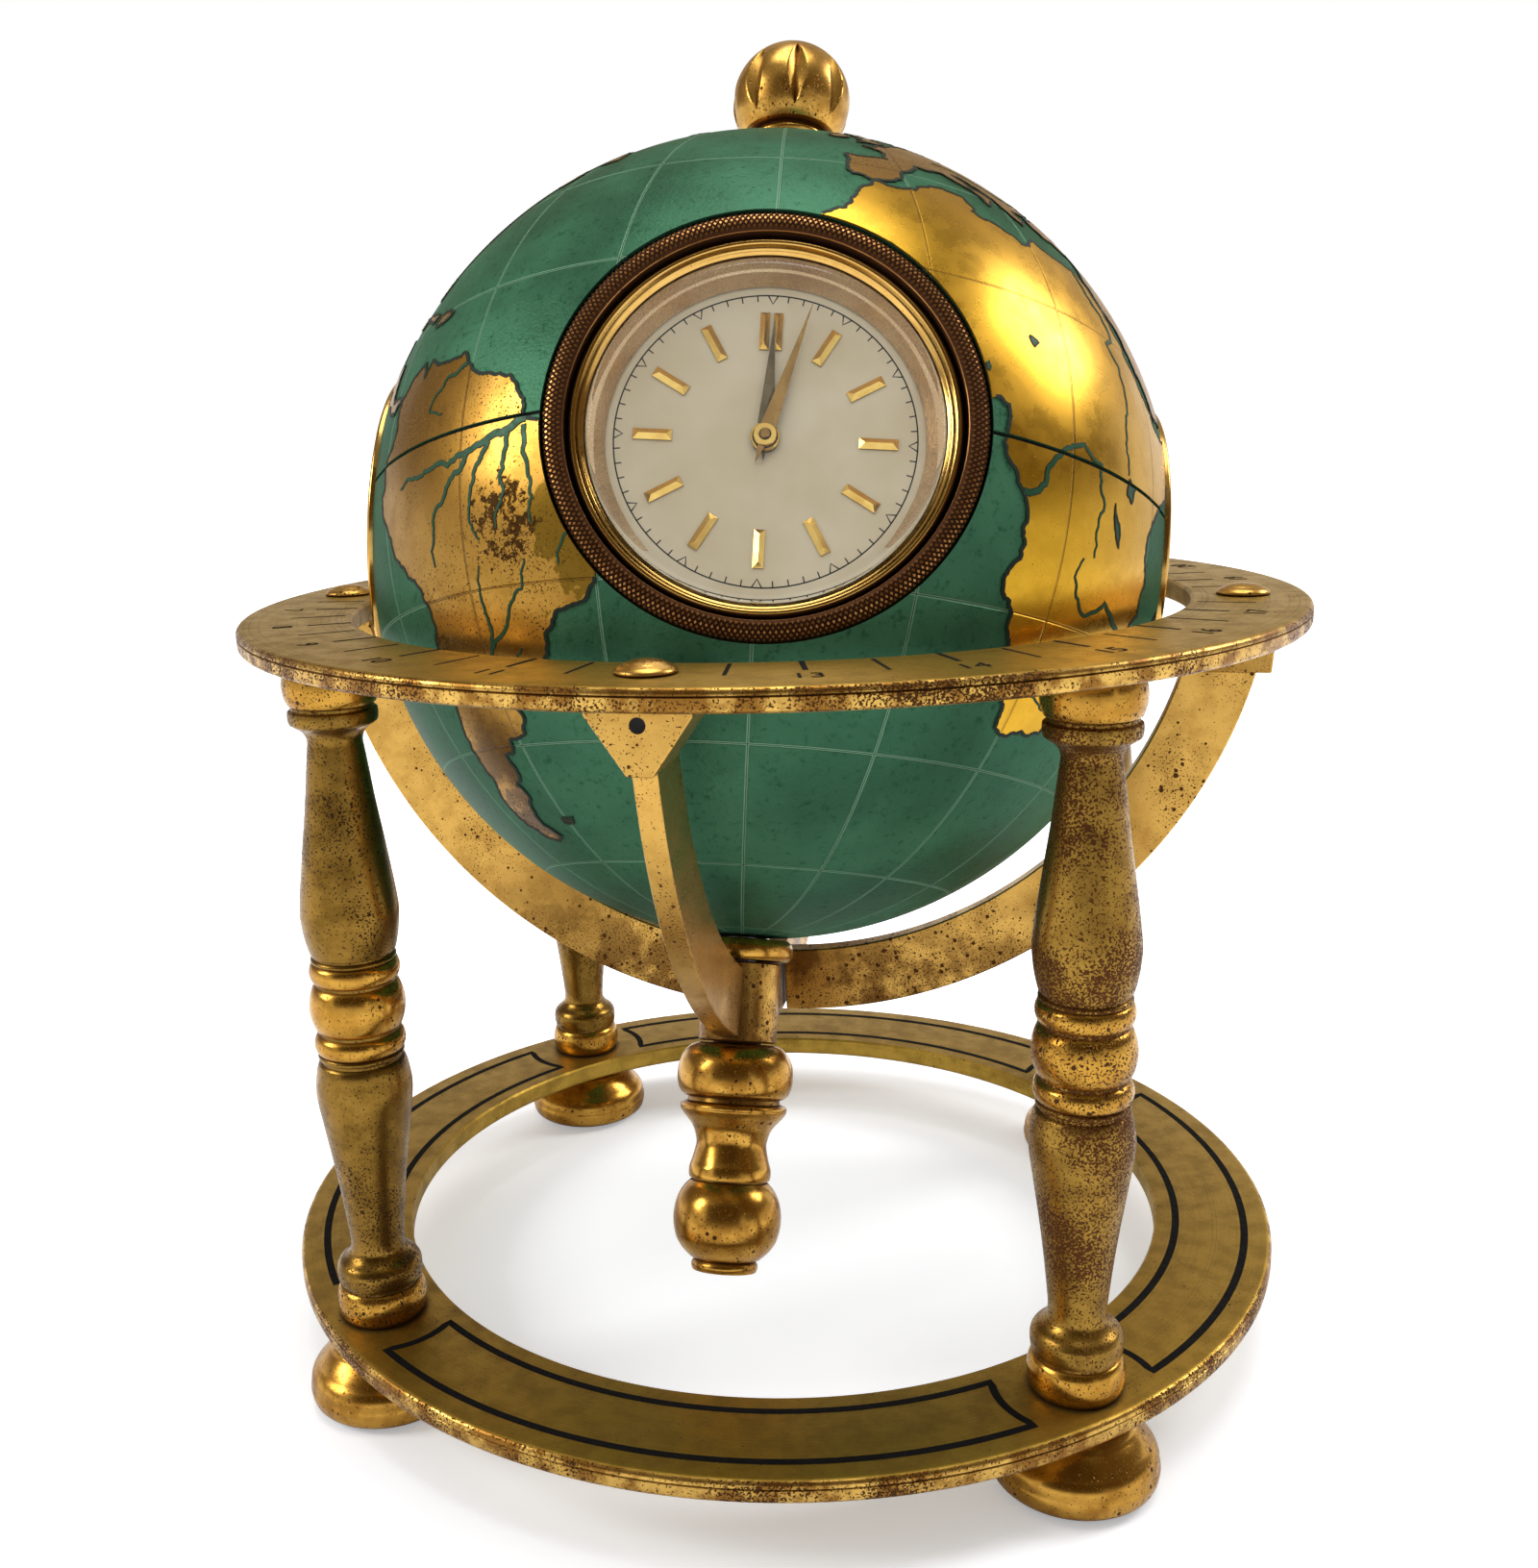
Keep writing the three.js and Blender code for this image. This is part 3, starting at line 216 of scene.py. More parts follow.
RIVERS = {
    "amazon": (
        1.1, [(-0.4, -49.3), (-1.5, -52), (-2.4, -56), (-3.2, -60), (-3.5, -65), (-4, -70), (-4.6, -74)]),
    "tocantins": (0.7, [(-1.2, -49.6), (-5, -49.3), (-9, -48.5), (-13, -48.5)]),
    "xingu": (0.7, [(-1.8, -52), (-5, -52.5), (-9, -52.5), (-13, -54)]),
    "tapajos": (0.7, [(-2.4, -55), (-6, -57.5), (-10, -58.5), (-14, -57)]),
    "madeira": (0.8, [(-3.2, -58.7), (-6, -62), (-9, -65), (-12, -66), (-16, -66.5)]),
    "parana": (0.7, [(-34.2, -58.5), (-31, -60.2), (-27.3, -58.5), (-24, -54.3), (-20.5, -51), (-17, -50)]),
    "paraguay": (0.5, [(-27.3, -58.5), (-22, -58), (-17, -57.7)]),
    "uruguay": (0.5, [(-33.8, -58.3), (-30, -57.5), (-27.5, -53)]),
    "sao_francisco": (0.7, [(-10.5, -36.4), (-9, -39.5), (-10.5, -42.5), (-14, -43.5), (-18, -45)]),
    "orinoco": (0.6, [(8.8, -60.8), (7.5, -65), (4, -67.8), (3, -64.5)]),
    "congo": (0.8, [(-6, 12.3), (-4.5, 15.5), (0, 18), (2, 22), (0.5, 25.5), (-5, 26.5), (-11, 26)]),
    "nile": (
        0.7, [(31.4, 31), (27, 31), (24, 33), (20, 33), (19, 31), (16, 33), (11, 33), (5, 31.5), (1, 32)]),
    "niger": (0.7, [(4.5, 6.2), (8, 6.8), (12, 4), (16.5, 0), (16, -3.5), (12.5, -8), (10, -10.5)]),
    "zambezi": (0.7, [(-18.5, 36.2), (-15.6, 30.5), (-17.8, 26), (-14, 23), (-11.5, 24)]),
    "orange": (0.5, [(-28.5, 16.6), (-28.8, 21), (-30.5, 26)]),
    "volga": (0.7, [(46, 48), (49, 45), (53, 48.5), (56, 45), (57.5, 38)]),
    "danube": (0.6, [(45, 29.6), (44, 23), (46, 19), (48, 15), (48, 10)]),
    "ob": (0.7, [(68.8, 73), (66.5, 71), (62, 66.5), (58, 75), (54, 82)]),
    "yenisei": (0.7, [(72, 82), (66, 87), (58, 92), (52, 94)]),
    "lena": (0.7, [(72.9, 126), (67, 123.5), (62.5, 130), (58, 115)]),
    "amur": (0.7, [(53, 140.8), (49, 135), (53, 122)]),
    "yangtze": (0.7, [(31.5, 121.5), (30, 115), (29.5, 107), (27, 100), (33, 95)]),
    "yellow": (0.5, [(37.7, 119), (35, 112), (40, 108), (36, 102)]),
    "ganges": (0.6, [(22.3, 90), (25.5, 83), (30, 78)]),
    "indus": (0.6, [(24.5, 67.3), (30, 71), (34.5, 75)]),
    "mississippi": (0.7, [(29.3, -89.6), (33, -91), (38, -90), (45, -93)]),
    "missouri": (0.5, [(38.7, -90.3), (43, -98), (47.5, -103), (47, -110)]),
    "mackenzie": (0.6, [(69.3, -134), (65, -127), (61, -117)]),
    "st_lawrence": (0.7, [(49.6, -65.5), (46, -73), (43.5, -79)]),
    "murray": (0.5, [(-35.4, 138.8), (-34, 142.5), (-36, 147)]),
}

# Outlines: radius share, height share, bulge in mm
COLUMN = [
    (0.84, 0), (0.84, 0.05, 0.62), (0.79, 0.052), (0.79, 0.056), (0.84, 0.058), (0.865, 0.07, 0.05),
    (0.85, 0.084, 0.08), (0.79, 0.091, "flow"), (0.66, 0.099, "flow"), (0.57, 0.108, "flow"),
    (0.545, 0.12, "flow"), (0.555, 0.135, "flow"), (0.6, 0.168, "flow"), (0.66, 0.207, "flow"),
    (0.73, 0.246, "flow"), (0.8, 0.28, "flow"), (0.87, 0.314, "flow"), (0.93, 0.343, "flow"),
    (0.96, 0.364, "flow"), (0.955, 0.38, "flow"), (0.93, 0.393, "flow"), (0.9, 0.405, "flow"),
    (0.86, 0.413, "flow"), (0.8, 0.416), (0.8, 0.42), (0.845, 0.422), (0.845, 0.428, 0.1), (0.81, 0.4295),
    (0.85, 0.431), (0.85, 0.457, 0.42), (0.79, 0.46), (0.79, 0.464), (0.85, 0.467), (0.85, 0.532, 0.78),
    (0.79, 0.535), (0.79, 0.539), (0.85, 0.542), (0.85, 0.567, 0.35), (0.81, 0.569), (0.83, 0.571),
    (0.83, 0.576, 0.1), (0.79, 0.578), (0.79, 0.581), (0.84, 0.583), (0.875, 0.592, "flow"),
    (0.92, 0.608, "flow"), (0.95, 0.626, "flow"), (0.964, 0.642, "flow"), (0.945, 0.66, "flow"),
    (0.9, 0.688, "flow"), (0.84, 0.72, "flow"), (0.78, 0.752, "flow"), (0.715, 0.784, "flow"),
    (0.655, 0.816, "flow"), (0.605, 0.848, "flow"), (0.55, 0.88, "flow"), (0.53, 0.894, "flow"),
    (0.565, 0.904, "flow"), (0.65, 0.912, "flow"), (0.77, 0.918, "flow"), (0.83, 0.921),
    (0.855, 0.927, 0.05), (0.85, 0.939, 0.05), (0.79, 0.942), (0.79, 0.946), (0.84, 0.949), (0.84, 1, 0.6),
]
COLUMN_BEADS = [(0, 0.051), (0.429, 0.459), (0.465, 0.534), (0.54, 0.5685), (0.947, 1)]
FOOT = [
    (0, 0), (0.7, 0), (0.88, 0.06, 0.2), (0.99, 0.22, 0.4), (0.985, 0.36, 0.15), (0.88, 0.62, 0.4),
    (0.7, 0.84, 0.1), (0.6, 0.95, 0.1), (0.56, 1),
]
PENDANT = [
    (0, 0), (0.52, 0), (0.565, 0.012, 0.1), (0.565, 0.04, 0.12), (0.53, 0.05), (0.6, 0.058),
    (0.7, 0.08, "flow"), (0.785, 0.104, "flow"), (0.862, 0.135, "flow"), (0.905, 0.168, "flow"),
    (0.93, 0.202, "flow"), (0.937, 0.235, "flow"), (0.928, 0.267, "flow"), (0.903, 0.3, "flow"),
    (0.854, 0.333, "flow"), (0.775, 0.366, "flow"), (0.68, 0.392, "flow"), (0.655, 0.394), (0.655, 0.4),
    (0.7, 0.403), (0.715, 0.42, "flow"), (0.71, 0.45, "flow"), (0.675, 0.48, "flow"), (0.635, 0.52, "flow"),
    (0.613, 0.555, "flow"), (0.632, 0.585, "flow"), (0.67, 0.615, "flow"), (0.725, 0.638, "flow"),
    (0.8, 0.66, "flow"), (0.87, 0.68, "flow"), (0.915, 0.697, "flow"), (0.93, 0.71, 0.05),
    (0.925, 0.727, 0.08), (0.87, 0.735), (0.81, 0.74), (0.8, 0.758), (0.86, 0.762), (0.935, 0.777, "flow"),
    (0.985, 0.802, "flow"), (1.015, 0.84, "flow"), (1.015, 0.88, "flow"), (0.985, 0.92, "flow"),
    (0.92, 0.955, "flow"), (0.81, 0.985, "flow"), (0.68, 1, "flow"), (0.3, 1),
]
KNOB_ANGLES = [math.radians(a) for a in range(-39, 90, 3)]
KNOB_BALL = [(math.cos(a), (1 + math.sin(a)) / 2) for a in KNOB_ANGLES] + [(0, 1)]


# Shapes
def moulding(points, radius=1, height=1, low=0, steps=6):
    """An outline of (radius, height) in mm.

    A third number bows the run that ends there outwards by so many mm, and the word flow carries a smooth
    curve on through the point.
    """
    places = [Vector((p[0] * radius, low + p[1] * height)) for p in points]
    flows = [len(p) == 3 and p[2] == "flow" for p in points]
    outline = [places[0]]
    for k in range(1, len(points)):
        start, end = places[k - 1], places[k]
        bow = points[k][2] if len(points[k]) == 3 else 0
        if flows[k]:
            before = places[k - 2] if flows[k - 1] else start
            after = places[k + 1] if k + 1 < len(points) and flows[k + 1] else end
            slope = end - before
            bend = 2 * before - 5 * start + 4 * end - after
            twist = 3 * start - before - 3 * end + after
            for i in range(1, steps):
                t = i / steps
                outline.append(0.5 * (2 * start + slope * t + bend * t * t + twist * t ** 3))
        elif bow:
            run = end - start
            middle = (start + end) / 2 + Vector((run.y, -run.x)).normalized() * bow * 2
            for i in range(1, steps):
                t = i / steps
                outline.append(start * (1 - t) ** 2 + middle * 2 * t * (1 - t) + end * t ** 2)
        outline.append(end)
    return [(p.x, p.y) for p in outline]


def turned(mesh, outline, place=Matrix(), steps=96, relief=None, finish=0):
    """Turns an outline about Z. Relief gives an extra radius at an angle and a height."""
    rows = []
    for radius, height in outline:
        if radius < 1e-6:
            rows.append([mesh.verts.new(place @ Vector((0, 0, height)))])
            continue
        row = []
        for i in range(steps):
            angle = math.tau * i / steps
            reach = radius + (relief(angle, height, radius) if relief else 0)
            row.append(
                mesh.verts.new(place @ Vector((reach * math.cos(angle), reach * math.sin(angle), height))))
        rows.append(row)
    for lower, upper in zip(rows, rows[1:]):
        for i in range(steps):
            ring = [lower[i % len(lower)], lower[(i + 1) % steps % len(lower)],
                    upper[(i + 1) % steps % len(upper)], upper[i % len(upper)]]
            corners = list(dict.fromkeys(ring))
            if len(corners) > 2:
                mesh.faces.new(corners).material_index = finish


def prism(mesh, outline, low, high, place):
    """A flat outline in X and Y made thick from low to high."""
    floor = [mesh.verts.new(place @ Vector((x, y, low))) for x, y in outline]
    roof = [mesh.verts.new(place @ Vector((x, y, high))) for x, y in outline]
    mesh.faces.new(floor[::-1])
    mesh.faces.new(roof)
    for i in range(len(outline)):
        j = (i + 1) % len(outline)
        mesh.faces.new((floor[i], floor[j], roof[j], roof[i]))


def strip(mesh, path, normals, width, closed=False, keep=None, finish=0, taper=False):
    """A flat strip along a path. Width is one number, and taper draws it out to a third at the far end."""
    count = len(path)
    sides = []
    for i, (point, normal) in enumerate(zip(path, normals)):
        before = path[(i - 1) % count] if closed else path[max(i - 1, 0)]
        after = path[(i + 1) % count] if closed else path[min(i + 1, count - 1)]
        side = normal.cross(after - before).normalized() * width / 2
        if taper:
            side *= 1 - i / count * 2 / 3
        sides.append((mesh.verts.new(point - side), mesh.verts.new(point + side)))
    for i in range(count if closed else count - 1):
        j = (i + 1) % count
        if keep is None or (keep(path[i]) and keep(path[j])):
            mesh.faces.new((sides[i][0], sides[i][1], sides[j][1], sides[j][0])).material_index = finish


def flat_strip(mesh, points, level, width, place=Matrix(), closed=False, finish=0):
    """A strip along points in X and Y, lying at one level of a place."""
    up = place.to_3x3() @ Vector((0, 0, 1))
    path = [place @ Vector((x, y, level)) for x, y in points]
    strip(mesh, path, [up] * len(path), width, closed, finish=finish)


def arc(radius, start, end, steps):
    """Points on an arc, angles in degrees."""
    angles = [math.radians(start + (end - start) * i / steps) for i in range(steps + 1)]
    return [(radius * math.cos(a), radius * math.sin(a)) for a in angles]


def numeral(mesh, text, height, level, place, depth=0.05, finish=0):
    """A number in the built-in sans letter, centred on its place and a little proud of it."""
    curve = bpy.data.curves.new("numeral", "FONT")
    curve.body = text
    curve.size = height * 1.4
    curve.align_x = "CENTER"
    curve.align_y = "CENTER"
    curve.extrude = depth
    maker = bpy.data.objects.new("numeral", curve)
    bpy.context.collection.objects.link(maker)
    bpy.context.view_layer.update()
    made = bpy.data.meshes.new_from_object(maker.evaluated_get(bpy.context.evaluated_depsgraph_get()))
    corners = [mesh.verts.new(place @ (v.co + Vector((0, 0, level)))) for v in made.vertices]
    for polygon in made.polygons:
        mesh.faces.new([corners[i] for i in polygon.vertices]).material_index = finish
    bpy.data.objects.remove(maker)
    bpy.data.curves.remove(curve)
    bpy.data.meshes.remove(made)


def make_piece(name, mesh, finishes, body, stands_for=(), crease=32, bevel=0):
    """Turns millimetres to metres and puts the piece on its body with its finishes."""
    bmesh.ops.recalc_face_normals(mesh, faces=mesh.faces)
    mesh.transform(Matrix.Scale(MM, 4))
    data = bpy.data.meshes.new(name)
    mesh.to_mesh(data)
    mesh.free()
    data.polygons.foreach_set("use_smooth", [True] * len(data.polygons))
    data.set_sharp_from_angle(angle=math.radians(crease))
    for finish in finishes:
        data.materials.append(finish)
    piece = bpy.data.objects.new(name, data)
    bpy.context.collection.objects.link(piece)
    if bevel:
        soften = piece.modifiers.new("Softened edges", "BEVEL")
        soften.width = bevel * MM
        soften.segments = 3
        soften.angle_limit = math.radians(40)
        soften.harden_normals = True
    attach(piece, body)
    if stands_for:
        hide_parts(*stands_for)
    return piece


# The globe's own geometry
def direction(latitude, longitude):
    """A unit vector in the polar frame from geographic degrees."""
    lat = math.radians(latitude)
    lon = math.radians(longitude - CLOCK_MERIDIAN)
    return Vector((math.sin(lon) * math.cos(lat), -math.cos(lon) * math.cos(lat), math.sin(lat)))


def dial_axis(name):
    """The way a dial faces, in the polar frame."""
    angle = math.radians(DIALS[name])
    return Vector((math.sin(angle), -math.cos(angle), 0))


def dial_place(name):
    """A dial's frame: Z outwards, Y north, X right as it is read."""
    return POLAR @ Matrix.Rotation(math.radians(DIALS[name]), 4, "Z") @ Matrix.Rotation(math.pi / 2, 4, "X")


def in_opening(point):
    """Whether a point of the polar frame lies within a dial's opening in the shell."""
    for name, radius in OPENINGS.items():
        axis = dial_axis(name)
        along = point.dot(axis)
        if along > 0 and (point - axis * along).length < radius + 0.02:
            return True
    return False


class Map:
    """A flat map about one point of the globe, equidistant from that point."""

    def __init__(self, centre):
        self.up = centre.normalized()
        aside = Vector((0, 0, 1)) if abs(self.up.z) < 0.9 else Vector((1, 0, 0))
        self.right = aside.cross(self.up).normalized()
        self.far = self.up.cross(self.right)

    def flat(self, point):
        angle = self.up.angle(point)
        across = Vector((point.dot(self.right), point.dot(self.far)))
        return across.normalized() * angle * GLOBE if across.length > 1e-9 else Vector((0, 0))

    def round(self, place):
        angle = place.length / GLOBE
        if angle < 1e-9:
            return self.up.copy()
        side = (self.right * place.x + self.far * place.y).normalized()
        return self.up * math.cos(angle) + side * math.sin(angle)


def ragged(points, closed, rough, chance, shortest=0.8):
    """Breaks each run in two with a small step aside until it is short, as an engraver's coast runs."""
    line = list(points) + ([points[0]] if closed else [])
    while True:
        longer = [line[0]]
        split = False
        for a, b in zip(line, line[1:]):
            run = b - a
            if run.length > shortest:
                aside = Vector((-run.y, run.x)) * rough * chance.uniform(-1, 1)
                longer.append((a + b) / 2 + aside)
                split = True
            longer.append(b)
        line = longer
        if not split:
            return line[:-1] if closed else line


def inside(point, outline):
    """Whether a point lies within a closed outline."""
    odd = False
    j = len(outline) - 1
    for i, a in enumerate(outline):
        b = outline[j]
        if (a.y > point.y) != (b.y > point.y) and point.x < (b.x - a.x) * (point.y - a.y) / (b.y - a.y) + a.x:
            odd = not odd
        j = i
    return odd


def add_land(mesh, coast_mesh, name, outline, lift, coast_width, rough):
    """One land as a thin plate on the shell with a raised inked coast, cut away at the dials' openings."""
    chance = random.Random(name)
    corners = [direction(lat, lon) for lat, lon in outline]
    chart = Map(sum(corners, Vector()))
    coast = ragged([chart.flat(c) for c in corners], True, rough, chance)
    points = list(coast)
    edges = [(i, (i + 1) % len(coast)) for i in range(len(coast))]
    reach = max(p.length for p in coast)
    for dial, radius in OPENINGS.items():
        axis = dial_axis(dial)
        spread = math.asin((radius + 0.05) / (GLOBE + lift))
        if chart.flat(axis).length < reach + spread * GLOBE:
            side = axis.orthogonal().normalized()
            start, count = len(points), 120
            for i in range(count):
                turn = Matrix.Rotation(math.tau * i / count, 3, axis)
                points.append(chart.flat(axis * math.cos(spread) + turn @ side * math.sin(spread)))
            edges += [(start + i, start + (i + 1) % count) for i in range(count)]
    # Points across the land, so that the plate follows the globe's curve
    step, clear_of_coast = 3.2, 1.1
    reach_steps = int(reach / step) + 1
    for i in range(-reach_steps, reach_steps + 1):
        for j in range(-reach_steps, reach_steps + 1):
            spot = Vector((i * step + (j % 2) * step / 2, j * step))
            if inside(spot, coast) and min((spot - p).length for p in coast) > clear_of_coast:
                points.append(spot)
    flat, _, faces, *_ = geometry.delaunay_2d_cdt(points, edges, [], 1, 1e-5, False)
    rounded = [chart.round(p) for p in flat]
    made = [None] * len(flat)
    new_faces = []
    for face in faces:
        middle = sum((flat[i] for i in face), Vector((0, 0))) / len(face)
        if in_opening(chart.round(middle) * GLOBE) or not inside(middle, coast):
            continue
        for i in face:
            if made[i] is None:
                made[i] = mesh.verts.new(POLAR @ (rounded[i] * (GLOBE + lift)))
        new_faces.append(mesh.faces.new([made[i] for i in face]))
    # The plate's edge goes down into the shell
    rim = [loop for face in new_faces for loop in face.loops if len(loop.edge.link_faces) == 1]
    foot = {}
    for top in (loop.vert for loop in rim):
        foot[top] = mesh.verts.new(CENTRE + (top.co - CENTRE).normalized() * (GLOBE - 0.1))
    for here, following in [(loop.vert, loop.link_loop_next.vert) for loop in rim]:
        mesh.faces.new((following, here, foot[here], foot[following]))
    path = [chart.round(p) for p in coast]
    lifted = [POLAR @ (p * (GLOBE + lift + 0.04)) for p in path]
    normals = [POLAR.to_3x3() @ p for p in path]
    keep = {tuple(high): not in_opening(low * GLOBE) for high, low in zip(lifted, path)}
    strip(coast_mesh, lifted, normals, coast_width, True, lambda p: keep[tuple(p)])


def add_river(mesh, name, width, points, lift):
    """One river as a strip that lies on the land and narrows from its mouth to its spring."""
    chance = random.Random(name)
    course = [direction(lat, lon) for lat, lon in points]
    chart = Map(sum(course, Vector()))
    line = ragged([chart.flat(c) for c in course], False, 0.16, chance, 1.0)
    path = [chart.round(p) for p in line]
    lifted = [POLAR @ (p * (GLOBE + lift)) for p in path]
    keep = {tuple(high): not in_opening(low * GLOBE) for high, low in zip(lifted, path)}
    strip(
        mesh, lifted, [POLAR.to_3x3() @ p for p in path], width, False, lambda p: keep[tuple(p)],
        taper=True)


# Materials
# A smooth step from one range to another, and a mix whose inputs 6 and 7 are its two colours
SMOOTH = {"interpolation_type": "SMOOTHSTEP"}
COLOURS = {"output": 2, "data_type": "RGBA"}


def fill(node, inputs):
    """Sets inputs of a node by name or number, each to a value or to the output that is linked to it."""
    for key, value in inputs.items():
        if isinstance(value, bpy.types.NodeSocket):
            node.id_data.links.new(value, node.inputs[key])
        else:
            node.inputs[key].default_value = value


def add_node(tree, kind, inputs, output=0, **settings):
    """Adds a node with its settings and links. It gives one of the node's outputs, or with None the node."""
    node = tree.nodes.new("ShaderNode" + kind)
    for key, value in settings.items():
        setattr(node, key, value)
    fill(node, inputs if isinstance(inputs, dict) else dict(enumerate(inputs)))
    return node if output is None else node.outputs[output]


def new_material(name, constants):
    """A material, the call that adds nodes to it, and its shader, which takes the constants."""
    material = bpy.data.materials.new(name)
    material.use_nodes = True
    tree = material.node_tree
    tree.nodes.clear()
    shader = add_node(tree, "BsdfPrincipled", constants, None)
    add_node(tree, "OutputMaterial", [shader.outputs[0]], None)
    return material, partial(add_node, tree), shader


def aged_brass(name, bright, deep, pit, pits, grit, roughness, streak=None, mottle=0.5, stained=0.0):
    """Brass, turned or sawn and gilt, worn through to pits and grit of brown oxide; dirt and painted shade in
    corners.

    Pits and grit say how many there are, streak is the spacing of lathe marks, mottle how far the tone
    drifts, and stained the height in metres below which a brown wash lies.
    """
    material, add, shader = new_material(name, {"Metallic": 1.0})
    place = add("TexCoord", {}, "Object")
    cloud = add("TexNoise", {"Vector": place, "Scale": 1 / (16 * MM), "Detail": 2, "Roughness": 0.5})
    if stained:
        level = add("SeparateXYZ", [place], 2)
        more = add("MapRange", [level, stained, stained - 0.02, 0.0, 0.25], **SMOOTH)
        cloud = add("Math", [cloud, more], operation="ADD")
    tone = add("TexNoise", {"Vector": place, "Scale": 1 / (4 * MM), "Detail": 4, "Roughness": 0.6})

    # Round pits, one to a cell of 1.1 mm, and more of them where the cloud is thick
    cells = add("TexVoronoi", {"Vector": place, "Scale": 1 / (1.1 * MM)}, None)
    chance = add("SeparateColor", [cells.outputs["Color"]])
    need = add("MapRange", [cloud, 0.35, 0.65, 0.62 - 0.3 * pits, 0.5 - 0.45 * pits], **SMOOTH)
    lack = add("Math", [need, -1.0], operation="MULTIPLY")
    size = add("Math", [chance, 0.55, lack], operation="MULTIPLY_ADD")
    depth = add("Math", [size, cells.outputs["Distance"]], operation="SUBTRACT")
    dots = add("MapRange", [depth, -0.03, 0.04], **SMOOTH)

    # Grit of a third of a millimetre, which is coarser than real dust so that it shows
    specks = add("TexNoise", {"Vector": place, "Scale": 1 / (0.34 * MM), "Detail": 1.5, "Roughness": 0.6})
    grit_need = add("MapRange", [cloud, 0.35, 0.7, 0.74 - 0.12 * grit, 0.72 - 0.24 * grit], **SMOOTH)
    over = add("Math", [specks, grit_need], operation="SUBTRACT")
    sand = add("MapRange", [over, 0.0, 0.05], **SMOOTH)

    # Dirt and painted shade in corners, up to 1.6 mm from the next surface
    open_sky = add("AmbientOcclusion", {"Distance": 1.6 * MM}, "AO", samples=6)
    corner_dirt_and_shade = add("MapRange", [open_sky, 0.35, 0.85, 1.0, 0.0], **SMOOTH)
    freckles = add("Math", [dots, sand], operation="MAXIMUM")
    dark = add("Math", [freckles, corner_dirt_and_shade], operation="MAXIMUM")

    drift = add("MapRange", [tone, 0.35, 0.7, 0.0, mottle * 2], **SMOOTH)
    body = add("Mix", {0: drift, 6: linear(bright), 7: linear(deep)}, **COLOURS)
    height = add("Math", [dark, -1.0], operation="MULTIPLY")
    if stained:
        low = add("MapRange", [level, stained + 0.01, stained - 0.02, 0.0, 0.85], **SMOOTH)
        patches = add("TexNoise", {"Vector": place, "Scale": 1 / (7 * MM), "Detail": 5, "Roughness": 0.6})
        edges = add("MapRange", [patches, 0.4, 0.56], **SMOOTH)
        wash = add("Math", [low, edges], operation="MULTIPLY")
        body = add("Mix", {0: wash, 6: body, 7: linear(pit)}, **COLOURS)
    if streak:
        marks = turning_marks(add, streak)
        lines = add("MapRange", [marks, 0.5, 0.8, 0.0, 0.55], **SMOOTH)
        body = add("Mix", {0: lines, 6: body, 7: linear(pit)}, **COLOURS)
        height = add("Math", [marks, 0.35, height], operation="MULTIPLY_ADD")
    smooth = add("MapRange", [tone, 0.3, 0.75, roughness, roughness + 0.1], **SMOOTH)
    fill(shader, {
        "Base Color": add("Mix", {0: dark, 6: body, 7: linear(pit)}, **COLOURS),
        "Roughness": add("Math", [dark, 0.3, smooth], operation="MULTIPLY_ADD"),
        "Metallic": add("Math", [dark, -0.15, 1.0], operation="MULTIPLY_ADD"),
        "Normal": add("Bump", {"Height": height, "Distance": 0.07 * MM}),
    })
    return material


def turning_marks(add, spacing):
    """Fine rings about the vertical axis, as a lathe tool leaves them on a flat ring."""
    place = add("TexCoord", {}, "Object")
    split = add("SeparateXYZ", [place], None)
    across = add("Math", [split.outputs[0], split.outputs[0]], operation="MULTIPLY")
    square = add("Math", [split.outputs[1], split.outputs[1], across], operation="MULTIPLY_ADD")
    radius = add("Math", [square], operation="SQRT")
    path = add("CombineXYZ", [radius, split.outputs[2], 0.0])
    return add("TexNoise", {"Vector": path, "Scale": 1 / (spacing * MM), "Detail": 2, "Roughness": 0.5})


def graticule(add, *widths):
    """Masks of the engraved lines, every 20 degrees of the globe, one for each width in millimetres."""
    place = add("TexCoord", {}, "Object")
    lifted = add("VectorMath", [place, CENTRE * MM], operation="SUBTRACT")
    upright = add("VectorRotate", {"Vector": lifted, "Angle": TILT}, rotation_type="X_AXIS")
    level = add("VectorRotate", {"Vector": upright, "Angle": -TURN}, rotation_type="Z_AXIS")
    split = add("SeparateXYZ", [level], None)
    rise = add("Math", [split.outputs[2], GLOBE * MM], operation="DIVIDE")
    latitude = add("Math", [rise], operation="ARCSINE")
    towards = add("Math", [split.outputs[1], -1.0], operation="MULTIPLY")
    longitude = add("Math", [split.outputs[0], towards], operation="ARCTAN2")
    narrowing = add("Math", [latitude], operation="COSINE")
    for width in widths:
        parallels = line_at(add, latitude, width)
        meridians = line_at(add, longitude, width, narrowing)
        yield add("Math", [parallels, meridians], operation="MAXIMUM")


def line_at(add, angle, width, narrowing=None):
    """One on the lines where an angle is a whole number of steps. The narrowing draws meridians together."""
    step = math.radians(20)
    half = width / 2 / GLOBE
    shifted = add("Math", [angle, 40 * step], operation="ADD")
    away = add("Math", [shifted, step / 2], operation="PINGPONG")
    if narrowing is not None:
        away = add("Math", [away, narrowing], operation="MULTIPLY")
    return add("MapRange", [away, half * 0.5, half, 1.0, 0.0], **SMOOTH)


